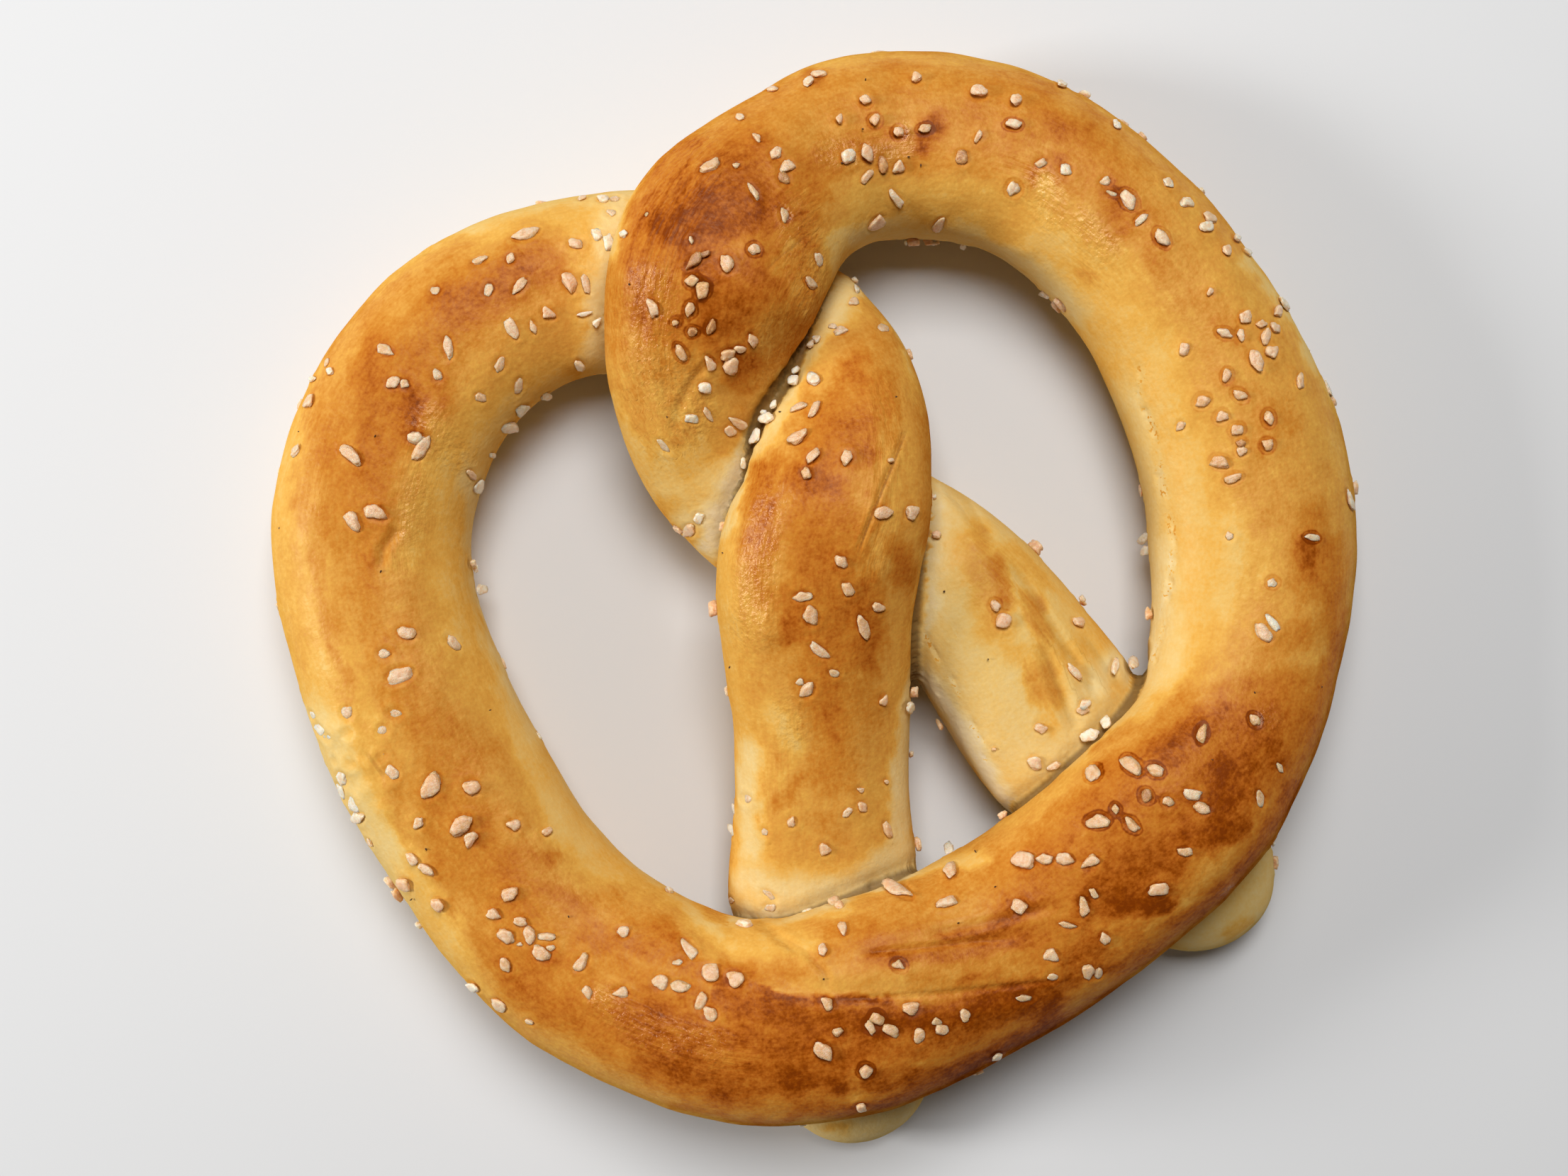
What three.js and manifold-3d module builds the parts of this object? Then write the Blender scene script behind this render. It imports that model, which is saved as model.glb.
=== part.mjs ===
// Soft pretzel: one rope of dough laid as two lobes, twisted once and baked on a flat tray.
// Millimetres, +Z up. The origin is the middle of the flat underside, -Y is the belly side
// and +Y is the side of the two lobe tops. The rope is followed from the tip of the tail
// that becomes the centre strand to the tip of the other tail.
import * as THREE from 'three';
import { mergeVertices } from 'three/addons/utils/BufferGeometryUtils.js';
import ManifoldModule from 'manifold-3d';

const wasm = await ManifoldModule();
wasm.setup();

// ---- Driving sizes ----
const SECTION_POWER = 2.3; // roundness of the rope's section: 2 is an ellipse, more is squarer
const TIP_LENGTH = 10; // length over which each tail narrows to its rounded tip
const RING_SPACING = 5; // distance between sections along the rope
const RING_POINTS = 24; // points round one section
const TIP_RINGS = 4; // extra sections that round each tip
const SAMPLES_PER_STATION = 100; // fineness with which the rope's length is measured
const TRAY_WIDTH = 200; // the block whose top is the tray's surface
const TRAY_DEPTH = 20;
const CRUST_COLOUR = 0xc08038;
const CRUST_ROUGHNESS = 0.55;

// ---- The rope's course ----
// Each station is [x, y, height of the rope's middle, width, thickness].
const TAIL_UNDER_BELLY = [
  [-27, -71.5, 6, 21, 12],
  [-20.5, -47.5, 6.5, 25.5, 13],
];
const CENTRE_STRAND = [
  [-17.5, -36.5, 8, 28, 15.5],
  [-13.5, -26.5, 10, 25, 19],
  [-9, -15.2, 11, 25, 22],
  [-0.5, 7, 18.5, 28.5, 21.5],
  [5.6, 14.8, 20, 26.2, 21],
  [9.6, 23.8, 17, 25, 21],
];
const UNDER_TWIST = [
  [9.5, 34.5, 11.5, 25, 19],
  [5.5, 44.5, 8, 25, 16],
  [-3, 52.5, 7.5, 26, 16],
];
const LEFT_LOBE = [
  [-22.5, 58, 10, 25.4, 21],
  [-42.6, 52.4, 10.5, 27.4, 23],
  [-56.5, 36.5, 10.5, 27.8, 23],
  [-60.6, 16.3, 10.5, 27.2, 23],
  [-59.7, -6, 10.5, 28, 23],
  [-53.9, -27.2, 11, 28.2, 23],
];
const BELLY = [
  [-39.3, -43.7, 15.5, 27.4, 22.5],
  [-28.6, -48.8, 18.5, 27.8, 21],
  [-18, -50.5, 19, 29, 21],
  [6, -50, 14.5, 28, 23.5],
  [31, -42, 18.5, 27.5, 21],
  [42.5, -35.5, 15, 26.5, 22],
];
const RIGHT_LOBE = [
  [50.5, -26, 12, 27, 22.5],
  [57, -14.5, 10.5, 29, 23],
  [61.1, -0.2, 10.5, 28.2, 23],
  [59.7, 25.8, 10.5, 25.2, 23],
  [48.4, 48.4, 10.5, 25, 23],
  [30, 58.5, 12, 26, 22.5],
];
const OVER_TWIST = [
  [19, 58.2, 15.5, 25.4, 22],
  [8.3, 54.2, 20, 28.8, 21],
  [1, 48, 22.5, 29, 20],
  [-3.5, 41, 19.5, 27, 19.5],
  [-5.5, 33.5, 15.5, 25.5, 18.5],
  [-5, 25.5, 11, 25, 17],
];
const RIGHT_TAIL = [
  [-1.5, 17, 8, 25, 16],
  [6.9, 7.9, 7.5, 26.6, 15.5],
  [15.6, -3, 9.5, 25.2, 19],
  [23.6, -31, 8.5, 27.8, 17],
  [36.7, -64.8, 5.5, 20.5, 11.5],
];
const STATIONS = [
  ...TAIL_UNDER_BELLY,
  ...CENTRE_STRAND,
  ...UNDER_TWIST,
  ...LEFT_LOBE,
  ...BELLY,
  ...RIGHT_LOBE,
  ...OVER_TWIST,
  ...RIGHT_TAIL,
];

// ---- Smooth curves through the stations ----
function smoothCurve(points) {
  const curve = new THREE.CatmullRomCurve3(points, false, 'centripetal');
  curve.arcLengthDivisions = (points.length - 1) * SAMPLES_PER_STATION;
  return curve;
}

const path = smoothCurve(STATIONS.map(([x, y, z]) => new THREE.Vector3(x, y, z)));
const sizes = smoothCurve(STATIONS.map(([, , , width, thick]) => new THREE.Vector3(width, thick, 0)));
const ropeLength = path.getLength();

// Distances of the sections from the first tip, close together where a tip is rounded.
function sectionDistances() {
  const rounded = [];
  for (let k = 1; k <= TIP_RINGS; k += 1) {
    const angle = (k / (TIP_RINGS + 1)) * (Math.PI / 2);
    rounded.push(TIP_LENGTH * (1 - Math.cos(angle)));
  }
  const even = [];
  const span = ropeLength - 2 * TIP_LENGTH;
  const count = Math.round(span / RING_SPACING);
  for (let k = 0; k <= count; k += 1) {
    even.push(TIP_LENGTH + (span * k) / count);
  }
  return [...rounded, ...even, ...rounded.map((distance) => ropeLength - distance).reverse()];
}

const distances = sectionDistances();

function ringNearStation(station) {
  const target = path.getLengths()[STATIONS.indexOf(station) * SAMPLES_PER_STATION];
  const gaps = distances.map((distance) => Math.abs(distance - target));
  return gaps.indexOf(Math.min(...gaps));
}

function middleAt(distance) {
  return path.getPoint(path.getUtoTmapping(distance / ropeLength));
}

// The rounding of a tip as a share of the full section: 0 at the very end, 1 past TIP_LENGTH.
function tipShare(distance) {
  const toTip = Math.min(distance, ropeLength - distance) / TIP_LENGTH;
  const rest = 1 - Math.min(toTip, 1);
  return Math.sqrt(1 - rest * rest);
}

// The points of one section: a superellipse that lies level across the rope.
function sectionRing(distance) {
  const t = path.getUtoTmapping(distance / ropeLength);
  const middle = path.getPoint(t);
  const half = sizes.getPoint(t).multiplyScalar(tipShare(distance) / 2);
  const along = path.getTangent(t);
  const across = new THREE.Vector3(-along.y, along.x, 0).normalize();
  const ring = [];
  for (let j = 0; j < RING_POINTS; j += 1) {
    const angle = (2 * Math.PI * j) / RING_POINTS;
    const level = Math.cos(angle);
    const up = Math.sin(angle);
    const sum = Math.abs(level) ** SECTION_POWER + Math.abs(up) ** SECTION_POWER;
    const reach = sum ** (-1 / SECTION_POWER);
    const point = middle.clone().addScaledVector(across, level * reach * half.x);
    point.z += up * reach * half.y;
    ring.push(point);
  }
  return ring;
}

// ---- Solids ----
function solidFrom(vertices, triangles) {
  const mesh = new wasm.Mesh({
    numProp: 3,
    vertProperties: new Float32Array(vertices),
    triVerts: new Uint32Array(triangles),
  });
  return new wasm.Manifold(mesh);
}

// The sides of a length of rope: two triangles between each pair of neighbouring points.
function sideTriangles(rings) {
  const triangles = [];
  for (let k = 0; k < rings - 1; k += 1) {
    for (let j = 0; j < RING_POINTS; j += 1) {
      const a = k * RING_POINTS + j;
      const b = k * RING_POINTS + ((j + 1) % RING_POINTS);
      triangles.push(a, b, a + RING_POINTS);
      triangles.push(b, b + RING_POINTS, a + RING_POINTS);
    }
  }
  return triangles;
}

// A closed length of rope from one section to another, with a fan of triangles over each end.
function ropeLengthSolid(firstRing, lastRing) {
  const kept = distances.slice(firstRing, lastRing + 1);
  const vertices = kept.flatMap((distance) => sectionRing(distance).flatMap((p) => p.toArray()));
  const triangles = sideTriangles(kept.length);
  const startMiddle = kept.length * RING_POINTS;
  const endMiddle = startMiddle + 1;
  const startAt = firstRing === 0 ? 0 : distances[firstRing];
  const endAt = lastRing === distances.length - 1 ? ropeLength : distances[lastRing];
  vertices.push(...middleAt(startAt).toArray(), ...middleAt(endAt).toArray());
  const lastStart = (kept.length - 1) * RING_POINTS;
  for (let j = 0; j < RING_POINTS; j += 1) {
    const next = (j + 1) % RING_POINTS;
    triangles.push(startMiddle, next, j);
    triangles.push(endMiddle, lastStart + j, lastStart + next);
  }
  return solidFrom(vertices, triangles);
}

// The block below the tray's surface, which leaves the underside flat.
function trayBlock() {
  const box = new THREE.BoxGeometry(TRAY_WIDTH, TRAY_WIDTH, TRAY_DEPTH);
  box.translate(0, 0, -TRAY_DEPTH / 2);
  box.deleteAttribute('normal');
  box.deleteAttribute('uv');
  const merged = mergeVertices(box);
  return solidFrom(merged.attributes.position.array, merged.index.array);
}

// The rope crosses itself, so it is joined from three lengths that each run clear of themselves:
// centre strand to left lobe, left lobe to top of the right lobe, and from there to the tail.
function doughSolid() {
  const leftCut = ringNearStation(LEFT_LOBE[1]);
  const rightCut = ringNearStation(RIGHT_LOBE[4]);
  const strand = ropeLengthSolid(0, leftCut);
  const loop = ropeLengthSolid(leftCut, rightCut);
  const tail = ropeLengthSolid(rightCut, distances.length - 1);
  return strand.add(loop).add(tail).subtract(trayBlock());
}

function geometryFrom(solid) {
  const { vertProperties, triVerts } = solid.getMesh();
  const geometry = new THREE.BufferGeometry();
  geometry.setAttribute('position', new THREE.BufferAttribute(vertProperties, 3));
  geometry.setIndex(new THREE.BufferAttribute(triVerts, 1));
  geometry.computeVertexNormals();
  return geometry;
}

const crust = new THREE.MeshStandardMaterial({
  color: CRUST_COLOUR,
  roughness: CRUST_ROUGHNESS,
  metalness: 0,
});
const pretzel = new THREE.Mesh(geometryFrom(doughSolid()), crust);
pretzel.name = 'pretzel';

const model = new THREE.Group();
model.add(pretzel);

export default model;
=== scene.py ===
"""Soft pretzel: the browned crust and coarse salt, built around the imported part.

Lengths are in millimetres until a mesh is made, and +Z is up. Places on the crust are given as the
photograph shows them, (across, down) in its pixels, and are found on the dough through the camera.
"""

import math
import random

import bmesh
import bpy
import numpy as np
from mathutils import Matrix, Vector, noise
from mathutils.bvhtree import BVHTree
from mathutils.kdtree import KDTree


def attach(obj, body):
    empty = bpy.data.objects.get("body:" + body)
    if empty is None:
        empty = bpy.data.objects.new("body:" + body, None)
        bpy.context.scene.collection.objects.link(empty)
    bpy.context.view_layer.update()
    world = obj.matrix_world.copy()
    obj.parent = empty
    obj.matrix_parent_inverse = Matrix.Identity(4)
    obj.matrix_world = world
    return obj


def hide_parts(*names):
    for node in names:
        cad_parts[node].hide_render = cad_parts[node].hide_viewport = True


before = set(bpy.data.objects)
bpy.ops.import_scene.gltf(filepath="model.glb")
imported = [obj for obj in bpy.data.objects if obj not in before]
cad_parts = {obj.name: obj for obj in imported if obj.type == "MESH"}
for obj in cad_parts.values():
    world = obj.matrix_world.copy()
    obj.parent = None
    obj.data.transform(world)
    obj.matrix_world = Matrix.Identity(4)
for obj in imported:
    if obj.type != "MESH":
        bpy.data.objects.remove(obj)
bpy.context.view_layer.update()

MM = 0.001
SEED = 20

# ---- Camera ----
PHOTO_WIDTH = 2212
PHOTO_HEIGHT = 1659
SENSOR_WIDTH = 36.0
FOCAL_PIXELS = 2780.0
CAMERA_PLACE = np.array([-6.0, 6.5, 290.0])
CAMERA_TURN = math.radians(-23.0)
IMAGE_RIGHT = np.array([math.cos(CAMERA_TURN), math.sin(CAMERA_TURN), 0.0])
IMAGE_UP = np.array([-math.sin(CAMERA_TURN), math.cos(CAMERA_TURN), 0.0])
NEAREST_SEEN = 10.0  # distance from the camera at which the view begins
CRUST_HEIGHT = 25.0  # height of most of the crust that the photograph shows
PIXEL = (CAMERA_PLACE[2] - CRUST_HEIGHT) / FOCAL_PIXELS  # width of one pixel at that height

# ---- The rope's course: [x, y, height of its middle, width, thickness], as in part.mjs ----
TAIL_UNDER_BELLY = [
    [-27, -71.5, 6, 21, 12],
    [-20.5, -47.5, 6.5, 25.5, 13],
]
CENTRE_STRAND = [
    [-17.5, -36.5, 8, 28, 15.5],
    [-13.5, -26.5, 10, 25, 19],
    [-9, -15.2, 11, 25, 22],
    [-0.5, 7, 18.5, 28.5, 21.5],
    [5.6, 14.8, 20, 26.2, 21],
    [9.6, 23.8, 17, 25, 21],
]
UNDER_TWIST = [
    [9.5, 34.5, 11.5, 25, 19],
    [5.5, 44.5, 8, 25, 16],
    [-3, 52.5, 7.5, 26, 16],
]
LEFT_LOBE = [
    [-22.5, 58, 10, 25.4, 21],
    [-42.6, 52.4, 10.5, 27.4, 23],
    [-56.5, 36.5, 10.5, 27.8, 23],
    [-60.6, 16.3, 10.5, 27.2, 23],
    [-59.7, -6, 10.5, 28, 23],
    [-53.9, -27.2, 11, 28.2, 23],
]
BELLY = [
    [-39.3, -43.7, 15.5, 27.4, 22.5],
    [-28.6, -48.8, 18.5, 27.8, 21],
    [-18, -50.5, 19, 29, 21],
    [6, -50, 14.5, 28, 23.5],
    [31, -42, 18.5, 27.5, 21],
    [42.5, -35.5, 15, 26.5, 22],
]
RIGHT_LOBE = [
    [50.5, -26, 12, 27, 22.5],
    [57, -14.5, 10.5, 29, 23],
    [61.1, -0.2, 10.5, 28.2, 23],
    [59.7, 25.8, 10.5, 25.2, 23],
    [48.4, 48.4, 10.5, 25, 23],
    [30, 58.5, 12, 26, 22.5],
]
OVER_TWIST = [
    [19, 58.2, 15.5, 25.4, 22],
    [8.3, 54.2, 20, 28.8, 21],
    [1, 48, 22.5, 29, 20],
    [-3.5, 41, 19.5, 27, 19.5],
    [-5.5, 33.5, 15.5, 25.5, 18.5],
    [-5, 25.5, 11, 25, 17],
]
RIGHT_TAIL = [
    [-1.5, 17, 8, 25, 16],
    [6.9, 7.9, 7.5, 26.6, 15.5],
    [15.6, -3, 9.5, 25.2, 19],
    [23.6, -31, 8.5, 27.8, 17],
    [36.7, -64.8, 5.5, 20.5, 11.5],
]
STATIONS = [
    *TAIL_UNDER_BELLY,
    *CENTRE_STRAND,
    *UNDER_TWIST,
    *LEFT_LOBE,
    *BELLY,
    *RIGHT_LOBE,
    *OVER_TWIST,
    *RIGHT_TAIL,
]
SECTION_POWER = 2.3  # roundness of the rope's section: 2 is an ellipse, more is squarer
TIP_LENGTH = 10.0  # length over which each tail narrows to its rounded tip

# ---- Fineness of the dough's mesh ----
SAMPLES_PER_STATION = 60  # fineness with which the rope's length is measured
SLOPE_STEP = 0.5  # how far ahead and behind a section its direction is taken
RING_SPACING = 1.3  # distance between sections along the rope
RING_POINTS = 64  # points round one section
TIP_RINGS = 8  # extra sections that round each tip
TIP_START = 0.12  # angle round the tip, in radians, of the first of them
VOXEL = 0.45
SMOOTH_ROUNDS = 10
SMOOTH_SHARE = 0.5  # share of the way to its neighbours' mean that a vertex moves in one round
FOLD_SHARE_DROP = 0.2  # how much smaller that share is in a fold, which keeps the fold sharp
POINTS_AT_ONCE = 2000  # how many points are measured from the whole rope at once
DOUGH_TRIANGLES = 194000
SALT_TRIANGLES = 190000

# ---- Ranges of how far the crust faces up: 1 is level and -1 is the flat underside ----
# The first value is where an effect begins and the second where it is in full.
SHOWN_FACING = (0.02, 0.30)  # the marks that the photograph shows from above
STROKED_FACING = (-0.6, -0.1)  # the strokes of browning
LEVEL_FACING = (0.5, 0.95)  # the shine
TRAY_FACING = (-0.6, -0.95)  # the browning of the underside
TRAY_HEIGHTS = (1.5, 0.2)
FLAT_FACING = (-0.4, -0.9)  # the flattening of the underside's relief
FLAT_HEIGHTS = (1.2, 0.2)
FLATTENED = 0.8  # share of the relief that is lost there

# ---- The grooves where two lengths of rope lie against each other ----
FOLD_HOLLOW = 0.035  # how far a vertex lies below its neighbours' mean in a groove
FOLD_LOWEST = 1.0  # height from which a hollow is a groove and not the tray's edge
FOLD_EDGE = 1.0  # how far from a groove the smoothing is held back
FOLD_GROOVES = [(0.8, 1.3), (1.8, 0.5)]  # (width, depth) of each groove cut along a fold
FOLD_NORMAL_ROUNDS = 12  # rounds of averaging that even out the way down into a fold
FOLD_ROUNDS = 4  # rounds of smoothing in a fold once it is cut
FOLD_SMOOTHED = 1.2  # width of that smoothing
OTHER_LENGTH = 45.0  # how far away along the rope its other lengths begin

# ---- Lumps of the dough: (width, height) of each size of noise ----
LUMPS = [(24.0, 0.45), (9.0, 0.16), (3.2, 0.045)]
NOISE_PEAK = 1.6  # what brings the usual peaks of noise to about 1
NOISE_SHIFT = (17.3, 5.1, 9.7)  # what moves each seed's noise to another place
# The seeds of the other noises. The lumps take 0, 1 and 2.
WARP_SEEDS = (3, 4)
TEAR_SEED = 7
WRINKLE_SEED = 11
SEAM_SEED = 15

# ---- How brown the crust is: (level, radius, line) of each stroke, 0 pale cream to 1 dark ----
# A later stroke lies over an earlier one, and each fades out towards its radius.
BAKE_LEFT_LOBE = [
    (0.14, 90, [(890, 300), (760, 300), (600, 360), (480, 470), (410, 600), (395, 740), (450, 1010)]),
    (0.20, 60, [(850, 500), (760, 530), (690, 590), (650, 680), (640, 800), (670, 920), (740, 1040)]),
    (0.62, 84, [(760, 380), (680, 410), (600, 470), (540, 550), (520, 650), (515, 740)]),
    (0.50, 62, [(510, 740), (515, 840), (545, 930), (590, 1010), (650, 1070)]),
    (0.38, 50, [(800, 420), (740, 460), (690, 500)]),
    (0.50, 42, [(460, 560), (455, 640), (460, 740)]),
    (0.00, 24, [(880, 275), (790, 279), (700, 297), (650, 316)]),
    (0.14, 44, [(840, 385), (838, 440), (842, 510)]),
    (-0.10, 44, [(880, 285), (864, 330), (858, 400), (852, 470), (850, 510)]),
    (0.34, 34, [(790, 480), (730, 500), (680, 530)]),
    (0.04, 36, [(790, 545), (725, 572), (684, 625), (668, 690)]),
    (0.76, 50, [(640, 430), (680, 425), (740, 380)]),
    (0.60, 28, [(770, 360), (790, 380)]),
    (0.68, 44, [(520, 470), (520, 560), (525, 650), (525, 690)]),
    (0.66, 34, [(620, 530), (625, 570)]),
    (0.47, 24, [(577, 470)]),
    (0.42, 26, [(462, 500), (500, 455), (545, 420), (600, 382), (660, 345)]),
    (0.28, 16, [(828, 470)]),
    (0.86, 36, [(578, 560), (582, 610)]),
    (0.54, 34, [(472, 620), (475, 700), (478, 770)]),
    (0.44, 28, [(470, 530), (465, 570)]),
    (0.38, 24, [(427, 670), (425, 730)]),
    (0.60, 32, [(522, 730), (525, 830)]),
    (0.38, 28, [(478, 820), (480, 890)]),
    (0.24, 26, [(415, 760), (418, 850), (432, 920)]),
    (0.44, 18, [(440, 760), (456, 830), (472, 920), (495, 990)]),
    (0.46, 30, [(530, 870), (545, 930)]),
    (0.41, 28, [(580, 820), (585, 930)]),
    (0.25, 28, [(582, 715), (590, 775)]),
    (0.12, 30, [(632, 650), (628, 740), (632, 830), (650, 910)]),
    (-0.10, 30, [(668, 680), (668, 760), (678, 830), (698, 900), (722, 950)]),
    (0.52, 40, [(600, 1000), (645, 1050), (685, 1060)]),
    (0.26, 26, [(672, 960), (640, 930)]),
    (-0.04, 32, [(450, 1000), (480, 1050)]),
    (0.20, 26, [(520, 1000), (528, 1040)]),
    (-0.12, 30, [(715, 960), (760, 1050), (800, 1105)]),
    (0.04, 28, [(725, 1010), (745, 1080)]),
]
BAKE_BELLY_LEFT = [
    (0.10, 60, [(470, 1060), (520, 1160), (580, 1260), (660, 1370)]),
    (0.10, 60, [(770, 1080), (850, 1180), (960, 1250)]),
    (0.58, 90, [(620, 1110), (690, 1230), (790, 1330), (900, 1400)]),
    (0.62, 66, [(700, 1340), (790, 1420), (880, 1470)]),
    (0.74, 66, [(900, 1440), (980, 1460), (1060, 1470)]),
    (0.82, 56, [(930, 1500), (1020, 1530), (1120, 1530)]),
    (-0.04, 38, [(455, 1030), (490, 1110), (525, 1170), (570, 1260)]),
    (0.35, 26, [(577, 1080), (577, 1180)]),
    (0.10, 24, [(570, 1220), (600, 1280)]),
    (0.57, 30, [(625, 1110), (628, 1230)]),
    (0.66, 34, [(672, 1170), (690, 1210), (725, 1230)]),
    (0.34, 26, [(722, 1100), (728, 1140)]),
    (0.43, 26, [(727, 1175), (775, 1225)]),
    (0.02, 32, [(765, 1110), (790, 1165), (830, 1195)]),
    (-0.02, 20, [(790, 1080), (840, 1150), (900, 1215), (960, 1245)]),
    (0.10, 24, [(830, 1222), (875, 1240)]),
    (0.64, 30, [(725, 1265), (740, 1285)]),
    (0.50, 40, [(780, 1290), (830, 1310), (780, 1335)]),
    (0.34, 24, [(925, 1278)]),
    (0.46, 26, [(830, 1272), (880, 1280)]),
    (0.72, 34, [(830, 1320), (880, 1330), (925, 1330)]),
    (0.70, 26, [(775, 1262), (825, 1278)]),
    (0.54, 22, [(640, 1285)]),
    (0.68, 38, [(725, 1375), (775, 1425), (830, 1430)]),
    (0.18, 14, [(655, 1372), (690, 1405)]),
    (0.56, 30, [(860, 1375), (880, 1385)]),
    (0.72, 24, [(1020, 1370), (1030, 1385)]),
    (0.80, 30, [(922, 1425), (925, 1475)]),
    (0.98, 26, [(1060, 1420), (1100, 1425)]),
    (0.58, 24, [(1075, 1477)]),
    (0.60, 18, [(830, 1478), (880, 1485)]),
    (0.62, 14, [(950, 1562), (1040, 1580), (1120, 1582)]),
    (0.66, 22, [(725, 1200), (780, 1205)]),
    (0.68, 26, [(690, 1345), (740, 1350), (790, 1350)]),
    (0.52, 20, [(875, 1298), (930, 1300)]),
    (0.68, 34, [(925, 1318), (975, 1362), (1030, 1396)]),
    (0.72, 26, [(970, 1405), (1000, 1420)]),
    (0.00, 20, [(955, 1262), (988, 1296), (1030, 1328)]),
    (0.86, 24, [(950, 1500), (985, 1500)]),
]
BAKE_BELLY_MIDDLE = [
    (0.52, 80, [(1150, 1330), (1260, 1300), (1360, 1260), (1450, 1200)]),
    (0.84, 70, [(1080, 1480), (1200, 1480), (1320, 1455), (1430, 1410), (1530, 1350)]),
    (0.14, 34, [(1035, 1318), (1080, 1335), (1130, 1330)]),
    (-0.15, 40, [(960, 1255), (1030, 1278), (1110, 1280), (1190, 1262)]),
    (-0.18, 22, [(1190, 1258), (1250, 1240), (1290, 1222)]),
    (0.00, 24, [(975, 1275), (1010, 1300)]),
    (0.78, 44, [(925, 1315), (965, 1345), (1010, 1375), (1060, 1398)]),
    (0.80, 26, [(990, 1400), (1035, 1420)]),
    (0.34, 26, [(1215, 1275), (1245, 1270)]),
    (0.50, 30, [(1180, 1330), (1280, 1285), (1370, 1265)]),
    (0.08, 20, [(1300, 1222), (1385, 1208)]),
    (0.62, 26, [(1225, 1318), (1290, 1315)]),
    (0.76, 28, [(1225, 1350), (1310, 1350), (1400, 1338), (1490, 1312), (1570, 1280)]),
    (0.78, 20, [(1325, 1322), (1400, 1318)]),
    (0.55, 16, [(1480, 1342)]),
    (0.86, 34, [(1410, 1300), (1475, 1272)]),
    (0.55, 22, [(1070, 1378), (1120, 1376)]),
    (0.34, 20, [(1165, 1384), (1230, 1384)]),
    (0.48, 22, [(1290, 1384), (1340, 1380)]),
    (0.54, 22, [(1400, 1374), (1480, 1365)]),
    (0.74, 18, [(1365, 1378), (1385, 1374)]),
    (0.92, 34, [(1110, 1430), (1220, 1440), (1330, 1432), (1480, 1412)]),
    (0.96, 12, [(1080, 1406), (1170, 1410), (1260, 1414)]),
    (0.96, 22, [(1370, 1428), (1450, 1412)]),
    (0.96, 34, [(1110, 1525), (1180, 1528)]),
    (0.82, 26, [(1225, 1528), (1290, 1520)]),
    (0.72, 22, [(1265, 1475), (1300, 1465)]),
    (0.80, 26, [(1130, 1565), (1240, 1562), (1330, 1532), (1430, 1486), (1510, 1440), (1590, 1392)]),
    (0.93, 24, [(1290, 1528), (1340, 1514), (1430, 1468), (1480, 1440)]),
    (0.80, 26, [(1525, 1372), (1580, 1365)]),
]
BAKE_BELLY_RIGHT = [
    (0.70, 90, [(1480, 1230), (1580, 1140), (1690, 1060), (1800, 1000)]),
    (0.84, 80, [(1560, 1260), (1650, 1200), (1740, 1120), (1790, 1060)]),
    (0.64, 40, [(1820, 970), (1870, 960), (1850, 1060)]),
    (0.24, 40, [(1400, 1165), (1475, 1115), (1560, 1045), (1640, 985)]),
    (-0.02, 30, [(1430, 1120), (1500, 1072), (1580, 1005), (1650, 940)]),
    (0.46, 26, [(1400, 1195), (1440, 1180)]),
    (0.60, 26, [(1470, 1178), (1525, 1130)]),
    (0.68, 26, [(1570, 1088), (1620, 1075)]),
    (0.50, 24, [(1625, 1030), (1668, 988)]),
    (0.66, 26, [(1720, 980), (1780, 975)]),
    (0.86, 34, [(1640, 1065), (1680, 1035), (1720, 1015)]),
    (0.98, 32, [(1725, 1080), (1725, 1130)]),
    (0.70, 26, [(1520, 1165), (1560, 1125)]),
    (0.42, 20, [(1550, 1055), (1590, 1035)]),
    (0.82, 22, [(1525, 1265), (1560, 1250)]),
    (0.94, 34, [(1715, 1180), (1740, 1170)]),
    (0.64, 20, [(1622, 1125)]),
    (1.00, 32, [(1590, 1280), (1640, 1270)]),
    (0.90, 26, [(1670, 1225)]),
    (0.80, 32, [(1825, 1110), (1795, 1175), (1740, 1240), (1690, 1290), (1600, 1352)]),
    (0.68, 22, [(1580, 1322), (1640, 1315)]),
    (0.70, 24, [(1828, 1075), (1850, 1020)]),
]
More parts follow.
